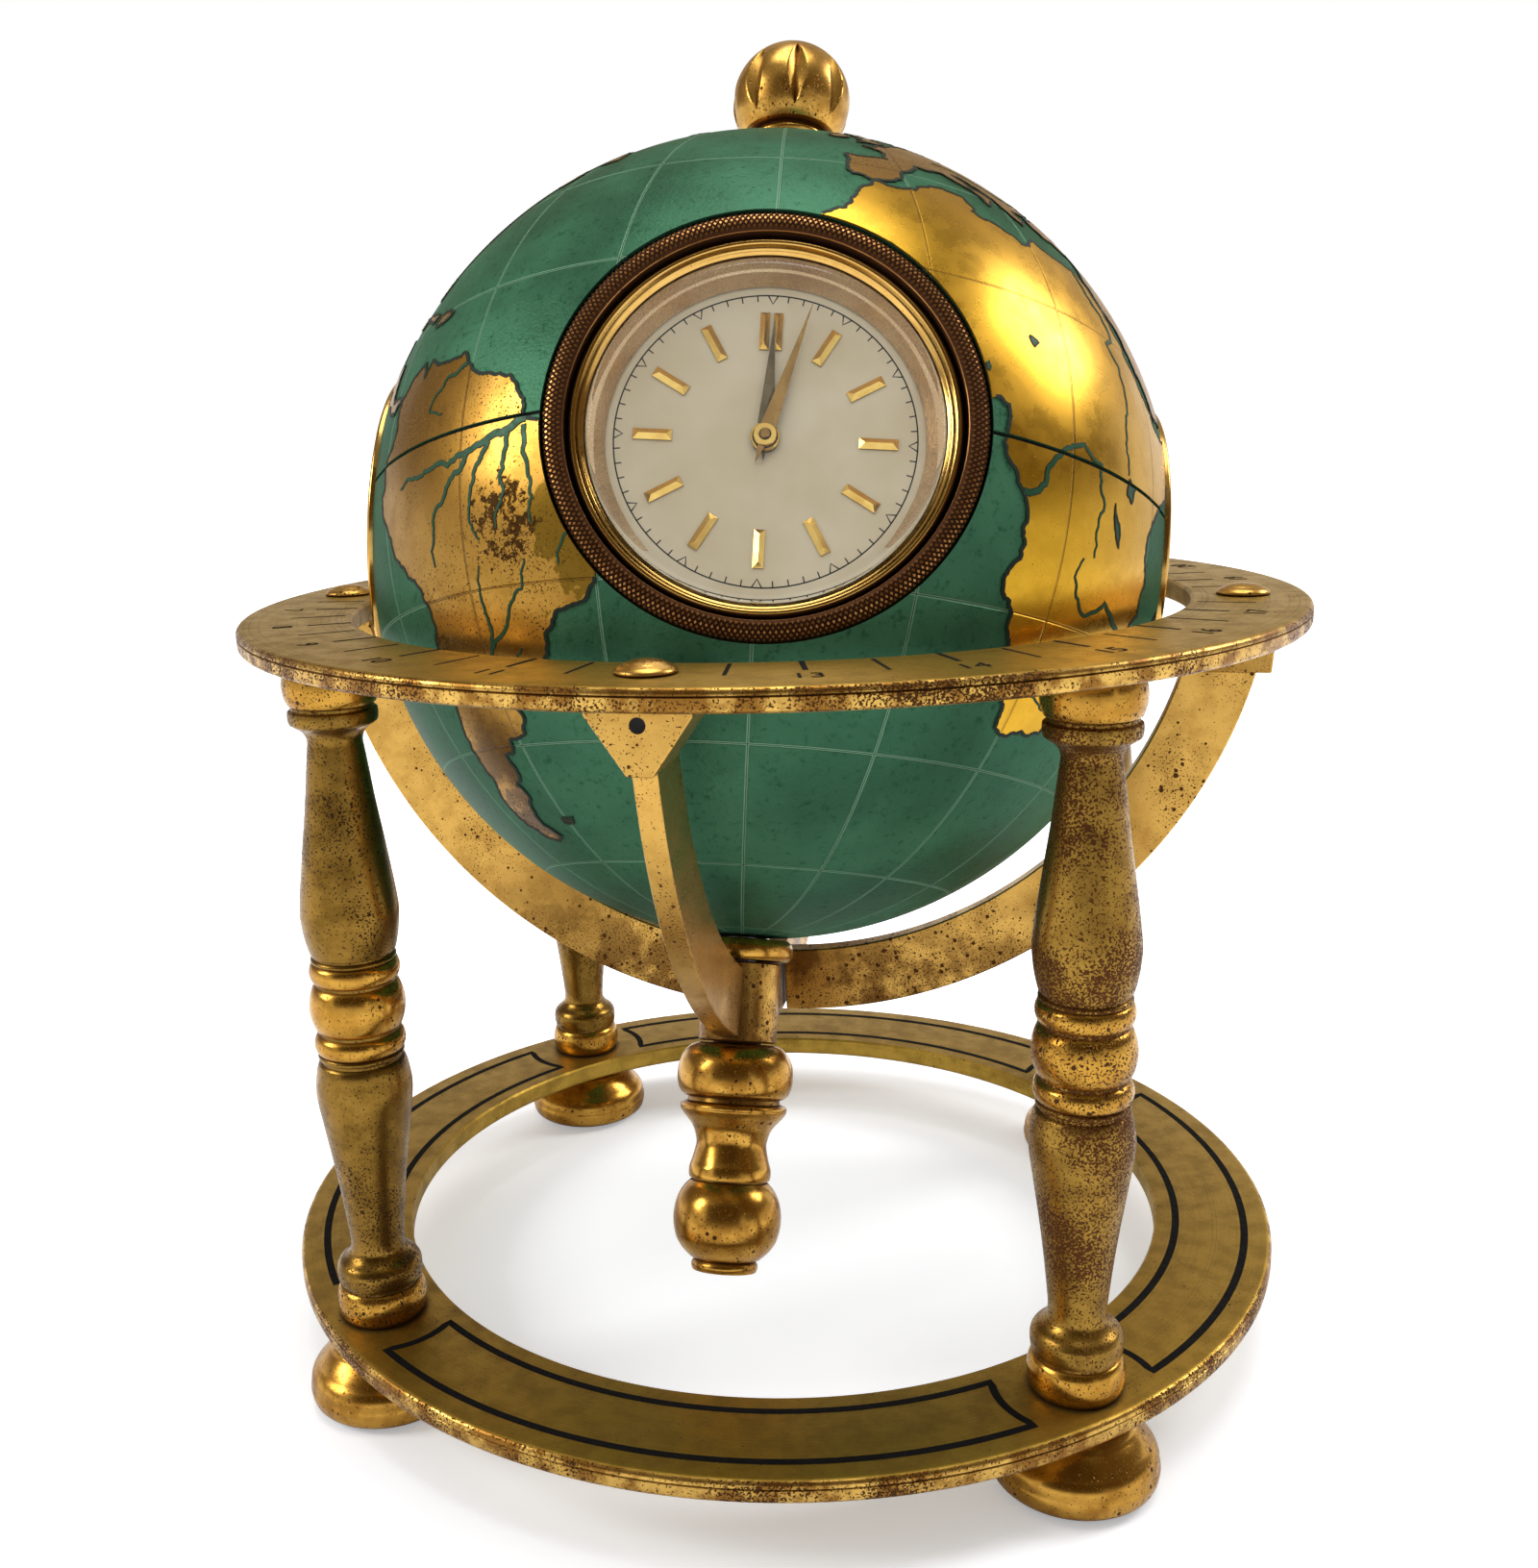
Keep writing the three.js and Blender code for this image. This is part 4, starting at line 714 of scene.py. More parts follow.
def sea_lacquer():
    """Green lacquer sprayed over the brass shell, with orange peel.

    Its engraved lines have pale edges, a painted highlight where light would catch them.
    """
    tint = linear("#5f8a80")
    constants = {"Metallic": 0.45, "Specular IOR Level": 0.2, "Specular Tint": tint}
    material, add, shader = new_material("Sea_green_lacquer_sprayed", constants)
    flank, groove = graticule(add, 0.6, 0.24)
    place = add("TexCoord", {}, "Object")
    cloud = add("TexNoise", {"Vector": place, "Scale": 1 / (22 * MM), "Detail": 3, "Roughness": 0.55})
    peel = add("TexNoise", {"Vector": place, "Scale": 1 / (0.5 * MM), "Detail": 3, "Roughness": 0.6})
    speckle = add("TexNoise", {"Vector": place, "Scale": 1 / (1.2 * MM), "Detail": 4, "Roughness": 0.7})
    drift = add("MapRange", [cloud, 0.3, 0.7], **SMOOTH)
    body = add("Mix", {0: drift, 6: linear("#365f46"), 7: linear("#487a5c")}, **COLOURS)
    flecks = add("MapRange", [speckle, 0.52, 0.72, 0.0, 0.7], **SMOOTH)
    mottled = add("Mix", {0: flecks, 6: body, 7: linear("#1c472c")}, **COLOURS)
    # The pale edges of the engraved lines: a painted highlight
    pale = add("Math", [flank, 0.72], operation="MULTIPLY")
    with_painted_edge_highlight = add("Mix", {0: pale, 6: mottled, 7: linear("#8ab595")}, **COLOURS)
    deep = add("Math", [groove, 0.75], operation="MULTIPLY")
    height = add("Math", [flank, -1.4, peel], operation="MULTIPLY_ADD")
    fill(shader, {
        "Base Color": add("Mix", {0: deep, 6: with_painted_edge_highlight, 7: linear("#12301f")}, **COLOURS),
        "Roughness": add("MapRange", [cloud, 0.3, 0.7, 0.38, 0.5], **SMOOTH),
        "Normal": add("Bump", {"Height": height, "Distance": 0.09 * MM}),
    })
    return material


# Where the western land has lost its gilding: latitude and longitude, and the reach in millimetres
CRUST = ((-12.0, -53.0), 13.0)
STAIN = ((-13.0, -40.5), 16.0)


def near_spot(add, spot, reach):
    """One at a place on the globe, and nought from that many millimetres off."""
    place = add("TexCoord", {}, "Object")
    middle = (POLAR @ (direction(*spot) * GLOBE)) * MM
    away = add("VectorMath", [place, middle], "Value", operation="DISTANCE")
    return add("MapRange", [away, reach * MM, 0.0], **SMOOTH)


def spoil_gilding(add, plain, relief, smooth):
    """Lays an olive stain and a crust of oxide on the land, and gives its colour, relief and roughness."""
    place = add("TexCoord", {}, "Object")
    patches = add("TexNoise", {"Vector": place, "Scale": 1 / (6 * MM), "Detail": 4, "Roughness": 0.6})
    near = add("Math", [near_spot(add, *STAIN), 0.8], operation="SUBTRACT")
    cloud = add("Math", [patches, 1.6, near], operation="MULTIPLY_ADD")
    stain = add("MapRange", [cloud, 0.42, 0.48, 0.0, 0.8], **SMOOTH)
    plain = add("Mix", {0: stain, 6: plain, 7: linear("#664e12")}, **COLOURS)
    close = near_spot(add, *CRUST)
    crumbs = add("TexNoise", {"Vector": place, "Scale": 1 / (1.6 * MM), "Detail": 6, "Roughness": 0.75})
    need = add("MapRange", [close, 0.1, 0.9, 0.7, 0.47], **SMOOTH)
    over = add("Math", [crumbs, need], operation="SUBTRACT")
    flecks = add("MapRange", [over, 0.0, 0.05], **SMOOTH)
    within = add("MapRange", [close, 0.0, 0.2], **SMOOTH)
    crust = add("Math", [flecks, within], operation="MULTIPLY")
    return (
        add("Mix", {0: crust, 6: plain, 7: linear("#452d12")}, **COLOURS),
        add("Math", [crust, -1.0, relief], operation="MULTIPLY_ADD"),
        add("Math", [crust, 0.3, smooth], operation="MULTIPLY_ADD"),
    )


def etched_land(name, bright, deep, pit, pits, grit, roughness, mottle, stained=0.0):
    """Gilt brass as aged_brass makes it, with the globe's engraved lines run on over it."""
    material = aged_brass(name, bright, deep, pit, pits, grit, roughness, mottle=mottle, stained=stained)
    add = partial(add_node, material.node_tree)
    shader = next(n for n in material.node_tree.nodes if n.type == "BSDF_PRINCIPLED")
    bump = next(n for n in material.node_tree.nodes if n.type == "BUMP")
    plain = shader.inputs["Base Color"].links[0].from_socket
    relief = bump.inputs["Height"].links[0].from_socket
    smooth = shader.inputs["Roughness"].links[0].from_socket
    if stained:
        plain, relief, smooth = spoil_gilding(add, plain, relief, smooth)
    line, = graticule(add, 0.45)
    faint = add("Math", [line, 0.45], operation="MULTIPLY")
    fill(shader, {
        "Base Color": add("Mix", {0: faint, 6: plain, 7: linear(pit)}, **COLOURS),
        "Roughness": smooth,
    })
    fill(bump, {"Height": add("Math", [line, -1.2, relief], operation="MULTIPLY_ADD")})
    return material


def plain_paint(name, code, roughness, metallic=0.0):
    """Ink, wax or lacquer laid into a line: nearly matt, with a little grain."""
    material, add, shader = new_material(name, {"Metallic": metallic, "Specular IOR Level": 0.2})
    place = add("TexCoord", {}, "Object")
    body = add("TexNoise", {"Vector": place, "Scale": 1 / (3 * MM), "Detail": 3, "Roughness": 0.5})
    skin = add("TexNoise", {"Vector": place, "Scale": 1 / (1 * MM), "Detail": 3, "Roughness": 0.5})
    grain = add("TexNoise", {"Vector": place, "Scale": 1 / (0.5 * MM), "Detail": 2, "Roughness": 0.5})
    dark = [c * 0.6 for c in linear(code)[:3]] + [1.0]
    fill(shader, {
        "Base Color": add("Mix", {0: body, 6: linear(code), 7: dark}, **COLOURS),
        "Roughness": add("MapRange", [skin, 0.3, 0.7, roughness, roughness + 0.15], **SMOOTH),
        "Normal": add("Bump", {"Height": grain, "Distance": 0.02 * MM}),
    })
    return material


def satin_plate(name, code, shade, roughness, metallic):
    """Plate grained straight with fine paper and then silvered, gilt or blued: a soft sheen along one way."""
    material, add, shader = new_material(name, {"Metallic": metallic})
    place = add("TexCoord", {}, "Object")
    drawn = add("Mapping", {"Vector": place, "Scale": (1, 1, 0.06)})
    lines = add("TexNoise", {"Vector": drawn, "Scale": 1 / (0.12 * MM), "Detail": 3, "Roughness": 0.6})
    cloud = add("TexNoise", {"Vector": place, "Scale": 1 / (9 * MM), "Detail": 3, "Roughness": 0.5})
    drift = add("MapRange", [cloud, 0.3, 0.7], **SMOOTH)
    fill(shader, {
        "Base Color": add("Mix", {0: drift, 6: linear(code), 7: linear(shade)}, **COLOURS),
        "Roughness": add("MapRange", [lines, 0.3, 0.7, roughness - 0.05, roughness + 0.08], **SMOOTH),
        "Normal": add("Bump", {"Height": lines, "Distance": 0.01 * MM}),
    })
    return material


def clear_glass(name):
    """Crown glass, ground and polished: clear, with the least unevenness in its polish."""
    constants = {"Transmission Weight": 1.0, "IOR": 1.46, "Base Color": linear("#fbfdfb")}
    material, add, shader = new_material(name, constants)
    place = add("TexCoord", {}, "Object")
    cloud = add("TexNoise", {"Vector": place, "Scale": 1 / (6 * MM), "Detail": 2, "Roughness": 0.5})
    fill(shader, {"Roughness": add("MapRange", [cloud, 0.35, 0.8, 0.0, 0.02], **SMOOTH)})
    return material


# What makes each finish
MAKERS = {
    # Turned columns whose gilding has gone dull: brown gold with dark freckles and a soft shine
    "column": lambda: aged_brass(
        "Brass_column_gilt_and_worn", "#8c6a2d", "#70531f", "#3f2812", pits=0.6, grit=0.8, roughness=0.25),
    # The column that has worn most: paler, and thick with fine brown grit
    "worn": lambda: aged_brass(
        "Brass_column_gilt_and_pitted", "#9a7733", "#7d5d27", "#5a3414", pits=0.45, grit=1.3, roughness=0.29),
    # Beads that hands have kept bright: warm gold with sharper reflections
    "bead": lambda: aged_brass(
        "Brass_bead_turned_and_polished", "#c1913c", "#a5762c", "#4a2d14", pits=0.7, grit=0.7, roughness=0.2),
    # The pendant and feet: polished red gold with scattered pits
    "polished": lambda: aged_brass(
        "Brass_pendant_polished", "#c49440", "#9c6d29", "#4a2d14", pits=0.65, grit=0.5, roughness=0.21),
    # The knob: the palest gold on the clock, rubbed soft, and dark with dirt and painted shade in its flutes
    "knob": lambda: aged_brass(
        "Brass_knob_gilt_and_rubbed", "#d9a952", "#ae7f36", "#5a3212", pits=0.6, grit=0.5, roughness=0.24),
    # Flat faces of the rings: greenish gold with fine lathe marks and a broad, dull sheen
    "ring": lambda: aged_brass(
        "Brass_ring_faced_on_the_lathe", "#b8953f", "#967831", "#463118", pits=0.35, grit=0.35,
        roughness=0.42, streak=0.3, mottle=0.45),
    # Edges of the rings: bright where they are rubbed, and brown and rough between
    "rim": lambda: aged_brass(
        "Brass_rim_rough_and_rubbed", "#d6ab57", "#8e6329", "#50310f", pits=0.55, grit=1.1, roughness=0.28,
        mottle=0.8),
    # The cradle's arms: even yellow gold, with a brown wash below
    "arm": lambda: aged_brass(
        "Brass_arm_sawn_and_gilt", "#cca050", "#b88c42", "#5a3616", pits=0.75, grit=0.6, roughness=0.27,
        mottle=0.4, stained=0.07),
    # The lands: olive gold, smooth above and stained towards the ring
    "land": lambda: etched_land(
        "Brass_land_etched_and_gilt", "#ab8138", "#936c28", "#4f3416", pits=0.2, grit=0.55, roughness=0.27,
        mottle=0.4, stained=0.116),
    # The land to the right of the clock: yellow gold like a mirror with hardly a mark, painted bright as a
    # highlight
    "bright_land": lambda: etched_land(
        "Brass_land_etched_polished_with_painted_highlight", "#cf9f2c", "#c09022", "#6a4416", pits=0.05, grit=0.0,
        roughness=0.24, mottle=0.3),
    # The sea: deep green with a metal glow under it, and engraved lines with a painted highlight on their
    # edges
    "sea": sea_lacquer,
    # Ink in the coasts: a thin green black line
    "coast": lambda: plain_paint("Coast_line_green_black_ink", "#1a2a1e", roughness=0.45),
    # Lacquer in the rivers: dark green, a little brighter than the ink
    "river": lambda: plain_paint("River_green_lacquer_inlaid", "#235034", roughness=0.35, metallic=0.2),
    # Wax in engraved lines and numerals: black and matt
    "wax": lambda: plain_paint("Engraving_filled_with_black_wax", "#050403", roughness=0.8),
    # The tops of the knurl: small red brown lights, painted brighter than the flanks as highlights
    "bronze": lambda: aged_brass(
        "Bronze_knurl_tops_painted_highlight", "#c28b52", "#a3703c", "#3a2110", pits=0.0, grit=0.2, roughness=0.3),
    # The flanks of the knurl: dull brown oxide with painted shade, so that the points stand out
    "groove": lambda: plain_paint("Bronze_knurl_flanks_oxide_and_painted_shade", "#5a3820", roughness=0.5, metallic=0.6),
    # The bezels: clean gold with near mirror reflections
    "bezel": lambda: aged_brass(
        "Brass_bezel_turned_and_gilt", "#dcb061", "#c99747", "#5a3a1a", pits=0.0, grit=0.0, roughness=0.13,
        mottle=0.25),
    # The slope inside the bezel: pale rose gold, satin
    "wall": lambda: satin_plate(
        "Brass_wall_turned_rose_gilt", "#e3c39a", "#d3ae84", roughness=0.27, metallic=0.75),
    # The clock's dial: champagne, with hardly any metal shine
    "dial": lambda: satin_plate(
        "Dial_plate_grained_champagne", "#e9d9bc", "#decbaa", roughness=0.42, metallic=0.25),
    # The hour markers: bright facets that flash
    "baton": lambda: aged_brass(
        "Brass_baton_cut_and_gilt", "#e6c06a", "#d2a650", "#5a3a1a", pits=0.0, grit=0.0, roughness=0.13),
    # The hour hand: grey brown, the darkest metal on the dial
    "hour": lambda: aged_brass(
        "Brass_hour_hand_darkened", "#6f6046", "#574a36", "#2b1f12", pits=0.0, grit=0.0, roughness=0.25),
    # The minute hand: browned gold
    "minute": lambda: aged_brass(
        "Brass_minute_hand_browned", "#a58048", "#8a6836", "#2b1f12", pits=0.0, grit=0.0, roughness=0.25),
    # The weather dials: soft silver grey
    "silver": lambda: satin_plate("Dial_plate_silvered", "#d9d2c3", "#c9c0b0", roughness=0.4, metallic=0.5),
    # The weather pointers: dark blue that turns bright at an angle
    "blued": lambda: satin_plate(
        "Steel_hand_blued_by_heat", "#26324f", "#1a2338", roughness=0.25, metallic=0.95),
    # Rods and arbors: plain grey steel
    "steel": lambda: satin_plate("Steel_arbor_turned", "#a5a6a8", "#8b8c90", roughness=0.28, metallic=1.0),
    # Crystal and glasses: clear
    "glass": lambda: clear_glass("Glass_crown_polished"),
    # The cup behind the clock: flat black lacquer; the globe's seam and the screw holes: black as painted
    # shade
    "black": lambda: plain_paint("Black_stoved_lacquer_and_painted_shade", "#15120f", roughness=0.4),
}
FINISHES = {}


def finish(name):
    """The material of that name, made once."""
    if name not in FINISHES:
        FINISHES[name] = MAKERS[name]()
    return FINISHES[name]


# Sizes, the floor's reach and the key light's power, which a user would change
class GlobeClockSizes(bpy.types.PropertyGroup):
    coast_width: bpy.props.FloatProperty(
        name="Coast width", description="Width of the inked coast line, in millimetres", default=0.55,
        min=0.1, max=2)
    coast_rough: bpy.props.FloatProperty(
        name="Coast roughness", description="How far each coast run steps aside", default=0.16, min=0,
        max=0.4, subtype="FACTOR")
    land_lift: bpy.props.FloatProperty(
        name="Land thickness", description="How proud the land stands of the sea, in millimetres",
        default=0.16, min=0.05, max=0.5)
    panel_line: bpy.props.FloatProperty(
        name="Panel line", description="Width of the black line on the base ring, in millimetres",
        default=1.2, min=0.2, max=2)
    hour_numeral: bpy.props.FloatProperty(
        name="Hour numeral", description="Height of the hour ring's numerals, in millimetres", default=3.2,
        min=1, max=5)
    knurl_count: bpy.props.IntProperty(
        name="Knurl count", description="Points of the knurl round the clock's ring", default=236, min=64,
        max=400)
    flute_count: bpy.props.IntProperty(
        name="Knob flutes", description="Lens shaped cuts round the top knob", default=8, min=4, max=16)


class GlobeClockPieces(bpy.types.PropertyGroup):
    floor_reach: bpy.props.FloatProperty(
        name="Floor reach", description="How far the studio floor runs from the clock", default=6.0, min=1,
        max=20, unit="LENGTH")
    key_light: bpy.props.FloatProperty(
        name="Key light", description="Power of the main soft light, in watts", default=6.5, min=0, max=100)


def sizes():
    """The sizes that a user can change."""
    return bpy.context.scene.globe_clock_sizes


# The pieces
def ring_outline(inner, outer, low, high, edge):
    """A flat ring with rounded outer edges, broken inner ones and a fine groove round its rim."""
    steps = [math.radians(a) for a in range(0, 91, 15)]
    under = [(outer - edge + edge * math.sin(a), low + edge - edge * math.cos(a)) for a in steps]
    over = [(outer - edge + edge * math.cos(a), high - edge + edge * math.sin(a)) for a in steps]
    groove = low + (high - low) * 0.66
    half_width, depth = 0.16, 0.22
    cut_in = [(outer, groove - half_width), (outer - depth, groove), (outer, groove + half_width)]
    small = 0.35
    bore = [(inner + small, high), (inner, high - small), (inner, low + small), (inner + small, low)]
    return [(inner + small, low)] + under + cut_in + over + bore


def mark_rim(mesh, reach):
    """Gives the outer edge of a ring its rougher finish."""
    for face in mesh.faces:
        if face.material_index == 0 and face.calc_center_median().xy.length > reach:
            face.material_index = 2


def at_angle(radius, degrees):
    """A place on a circle."""
    return radius * math.cos(math.radians(degrees)), radius * math.sin(math.radians(degrees))


class GLOBECLOCK_OT_base_ring(bpy.types.Operator):
    """Builds the lower ring with its four black-lined panels"""
    bl_idname = "globeclock.base_ring"
    bl_label = "Base Ring"

    def execute(self, context):
        mesh = bmesh.new()
        turned(mesh, ring_outline(BASE_INNER, BASE_OUTER, BASE_LOW, BASE_TOP, 1.0), steps=256)
        width = sizes().panel_line
        inner, outer, round_column = 69.9, 81.1, 12.0
        for quarter in range(4):
            line = []
            column = Vector(at_angle(COLUMN_CIRCLE, 45 + 90 * quarter))
            after = Vector(at_angle(COLUMN_CIRCLE, 135 + 90 * quarter))
            for radius, forwards in ((inner, True), (outer, False)):
                near = (COLUMN_CIRCLE ** 2 + radius ** 2 - round_column ** 2) / (2 * COLUMN_CIRCLE * radius)
                spread = math.degrees(math.acos(near))
                run = arc(radius, 45 + 90 * quarter + spread, 135 + 90 * quarter - spread, 40)
                run = run if forwards else run[::-1]
                if line:
                    line += concave(after, line[-1], run[0])
                line += run
            line += concave(column, line[-1], line[0])
            flat_strip(mesh, line, BASE_TOP + INK_LIFT, width, closed=True, finish=1)
        mark_rim(mesh, BASE_OUTER - 0.6)
        make_piece(
            "base_ring_engraved", mesh, [finish("ring"), finish("wax"), finish("rim")], "stand",
            ["base_ring"])
        return {"FINISHED"}


def concave(column, start, end):
    """The run of a panel line round the foot of a column."""
    a = math.atan2(start[1] - column.y, start[0] - column.x)
    b = math.atan2(end[1] - column.y, end[0] - column.x)
    radius = (Vector(start) - column).length
    turn = (b - a + math.pi) % math.tau - math.pi
    angles = [a + turn * i / 12 for i in range(1, 12)]
    return [(column.x + radius * math.cos(t), column.y + radius * math.sin(t)) for t in angles]


class GLOBECLOCK_OT_hour_ring(bpy.types.Operator):
    """Builds the upper ring with its hour lines and plain numerals"""
    bl_idname = "globeclock.hour_ring"
    bl_label = "Hour Ring"

    def execute(self, context):
        mesh = bmesh.new()
        turned(mesh, ring_outline(HOUR_INNER, HOUR_OUTER, HOUR_LOW, HOUR_TOP, 0.9), steps=256)
        hour_mark, half_mark = (68.7, 75.4, 0.75), (69.5, 78, 0.55)
        for half_hour in range(48):
            degrees = -90 + 7.5 * (half_hour - 24)
            inner, outer, width = hour_mark if half_hour % 2 == 0 else half_mark
            if half_hour % 12 == 0:
                continue
            line = [at_angle(inner, degrees), at_angle(outer, degrees)]
            flat_strip(mesh, line, HOUR_TOP + INK_LIFT, width, finish=1)
        numeral_circle = 79.4
        for hour in range(1, 25):
            if hour % 6 == 0:
                continue
            turn = Matrix.Rotation(math.radians(15 * (hour - 12)), 4, "Z")
            place = turn @ Matrix.Translation((0, -numeral_circle, 0))
            numeral(mesh, str(hour), sizes().hour_numeral, HOUR_TOP, place, finish=1)
        mark_rim(mesh, HOUR_OUTER - 0.5)
        make_piece(
            "hour_ring_engraved", mesh, [finish("ring"), finish("wax"), finish("rim")], "stand",
            ["hour_ring"])
        return {"FINISHED"}


class GLOBECLOCK_OT_columns(bpy.types.Operator):
    """Builds the four turned columns"""
    bl_idname = "globeclock.columns"
    bl_label = "Columns"

    def execute(self, context):
        for corner, degrees in CORNERS.items():
            mesh = bmesh.new()
            place = Matrix.Translation((*at_angle(COLUMN_CIRCLE, degrees), 0))
            outline = moulding([(0.3, 0)] + COLUMN + [(0.3, 1)], COLUMN_RADIUS, COLUMN_LENGTH, COLUMN_FOOT)
            turned(mesh, outline, place, 72)
            worn = "worn" if corner == "front_right" else "column"
            for face in mesh.faces:
                share = (face.calc_center_median().z - COLUMN_FOOT) / COLUMN_LENGTH
                face.material_index = int(any(low < share < high for low, high in COLUMN_BEADS))
            finishes = [finish(worn), finish("bead")]
            make_piece(
                f"column_{corner}_turned", mesh, finishes, "stand", [f"column_{corner}"], 40)
        return {"FINISHED"}


class GLOBECLOCK_OT_feet(bpy.types.Operator):
    """Builds the four round feet"""
    bl_idname = "globeclock.feet"
    bl_label = "Feet"

    def execute(self, context):
        for corner, degrees in CORNERS.items():
            mesh = bmesh.new()
            place = Matrix.Translation((*at_angle(COLUMN_CIRCLE, degrees), 0))
            turned(mesh, moulding(FOOT + [(0.2, 1)], FOOT_RADIUS, FOOT_HEIGHT, 0, 8), place, 72)
            make_piece(
                f"foot_{corner}_turned", mesh, [finish("polished")], "stand",
                [f"foot_{corner}"], 50)
        return {"FINISHED"}


class GLOBECLOCK_OT_cap_screws(bpy.types.Operator):
    """Builds the four domed screws that hold the cradle under the hour ring"""
    bl_idname = "globeclock.cap_screws"
    bl_label = "Cap Screws"

    def execute(self, context):
        for side, degrees in SIDES.items():
            mesh = bmesh.new()
            place = Matrix.Translation((*at_angle(SCREW_CIRCLE, degrees), 0))
            dome = moulding([
                (0, 113.3), (1.4, 113.3), (1.4, 122.6), (3.9, 122.6), (4.05, 122.75), (4.0, 123.0),
                (2.9, 123.7, 0.12), (1.4, 124.2, 0.1), (0, 124.3, 0.05),
            ])
            turned(mesh, dome, place, 48)
            make_piece(
                f"cap_screw_{side}_turned", mesh, [finish("arm")], "stand",
                [f"cap_screw_{side}"], 60)
        return {"FINISHED"}


class GLOBECLOCK_OT_arms(bpy.types.Operator):
    """Builds the four arms of the cradle with their flared blocks"""
    bl_idname = "globeclock.arms"
    bl_label = "Cradle Arms"

    def execute(self, context):
        inner, outer, half, top = 70.2, 81.2, 1.7, -11.2
        sleeve = math.degrees(6.45 / 75.7)
        ends = {"front": 67.5 - sleeve, "back": 112.5 - sleeve, "right": 88.37, "left": 88.37}
        for side, end in ends.items():
            mesh = bmesh.new()
            place = Matrix.Translation(CENTRE) @ Matrix.Rotation(math.radians(SIDES[side]), 4, "Z")
            upright = place @ Matrix.Rotation(-math.pi / 2, 4, "X")
            start = math.degrees(math.asin(-top / inner)) + 0.6
            curve = arc(inner, start, end, 64) + arc(outer, end, start, 64)
            prism(mesh, curve, -half, half, upright)
            near = math.sqrt(inner ** 2 - top ** 2)
            wide, lip, drop, deep = 7, 1.2, 8.9, 11.7
            right = [(half, top - drop), (wide, top - lip), (wide, top)]
            flare = [(-x, z) for x, z in right[::-1]] + right
            facing_out = Matrix(((0, 0, 1, 0), (1, 0, 0, 0), (0, 1, 0, 0), (0, 0, 0, 1)))
            prism(mesh, flare, 0, deep, place @ Matrix.Translation((near, 0, 0)) @ facing_out)
            make_piece(
                f"arm_{side}_shaped", mesh, [finish("arm")], "stand", [f"arm_{side}"], 30, 0.3)
            # A black dish in the mouth of the set screw's hole: painted shade for the hole
            hole = bmesh.new()
            spot = place @ Matrix.Translation((near + deep, 0, top - 2.3))
            mouth = [(0, 0.02), (0.85, 0.02), (1.05, 0.06)]
            turned(hole, mouth, spot @ Matrix.Rotation(math.pi / 2, 4, "Y"), 24)
            make_piece(f"set_hole_painted_shade_{side}", hole, [finish("black")], "stand")
        return {"FINISHED"}


class GLOBECLOCK_OT_pivot(bpy.types.Operator):
    """Builds the collar, the sleeve and the pendant under the globe"""
    bl_idname = "globeclock.pivot"
    bl_label = "Pivot And Pendant"

    def execute(self, context):
        mesh = bmesh.new()
        collar = [(2.7, -68.6), (7.4, -68.6), (7.8, -68.2), (7.8, -65.7, 0.3), (7.4, -65.3), (2.7, -65.3)]
        turned(mesh, moulding(collar), AXIS, 72)
        make_piece("pivot_collar_turned", mesh, [finish("polished")], "stand", ["pivot_collar"])
        mesh = bmesh.new()
        sleeve = [
            (2.7, -85.6), (3.8, -85.6), (3.8, -81.6), (5.9, -81.6), (6.2, -81.3), (6.2, -69.2),
            (5.9, -68.9), (2.7, -68.9),
        ]
        turned(mesh, sleeve, AXIS, 72)
        make_piece("pivot_sleeve_turned", mesh, [finish("arm")], "stand", ["pivot_sleeve"])
        mesh = bmesh.new()
        turned(mesh, moulding(PENDANT, PENDANT_RADIUS, PENDANT_LENGTH, PENDANT_LOW), AXIS, 96)
        make_piece("pendant_turned", mesh, [finish("polished")], "stand", ["pendant"], 40)
        return {"FINISHED"}


class GLOBECLOCK_OT_sea(bpy.types.Operator):
    """Builds the two lacquered halves of the globe, open at the four dials"""
    bl_idname = "globeclock.sea"
    bl_label = "Sea"

    def execute(self, context):
        seam = math.degrees(math.asin(SEAM_HALF / GLOBE))
        for name, sign in (("north", 1), ("south", -1)):
            mesh = bmesh.new()
            angles = [math.radians(seam + (90 - seam) * i / 48) for i in range(49)]
            outside = [(GLOBE * math.cos(a), sign * GLOBE * math.sin(a)) for a in angles]
            inner = GLOBE - SHELL_WALL
            inside_wall = [(inner * math.cos(a), sign * inner * math.sin(a)) for a in angles]
            turned(mesh, inside_wall[::-1][1:] + outside[:-1], POLAR, 192)
            shells = [f"shell_{name}"]
            shell = make_piece(
                f"shell_{name}_lacquered", mesh, [finish("sea")], "globe", shells, 50)
            open_at_dials(shell, 144)
            shell.data.polygons.foreach_set("use_smooth", [True] * len(shell.data.polygons))
            shell.data.set_sharp_from_angle(angle=math.radians(50))
        # A black band in the seam's gap between the halves: painted shade
        line = bmesh.new()
        band = [(63.4, -SEAM_HALF), (64.55, -SEAM_HALF), (64.55, SEAM_HALF), (63.4, SEAM_HALF)]
        turned(line, band, POLAR, 192)
        open_at_dials(make_piece("seam_shadow_band", line, [finish("black")], "globe"), 96)
        return {"FINISHED"}


def open_at_dials(piece, steps):
    """Cuts the four round openings for the dials through a piece."""
    for dial, radius in OPENINGS.items():
        cutter = bmesh.new()
        turned(cutter, [(0, 8), (radius, 8), (radius, 80), (0, 80)], dial_place(dial), steps)
        cut(piece, cutter)


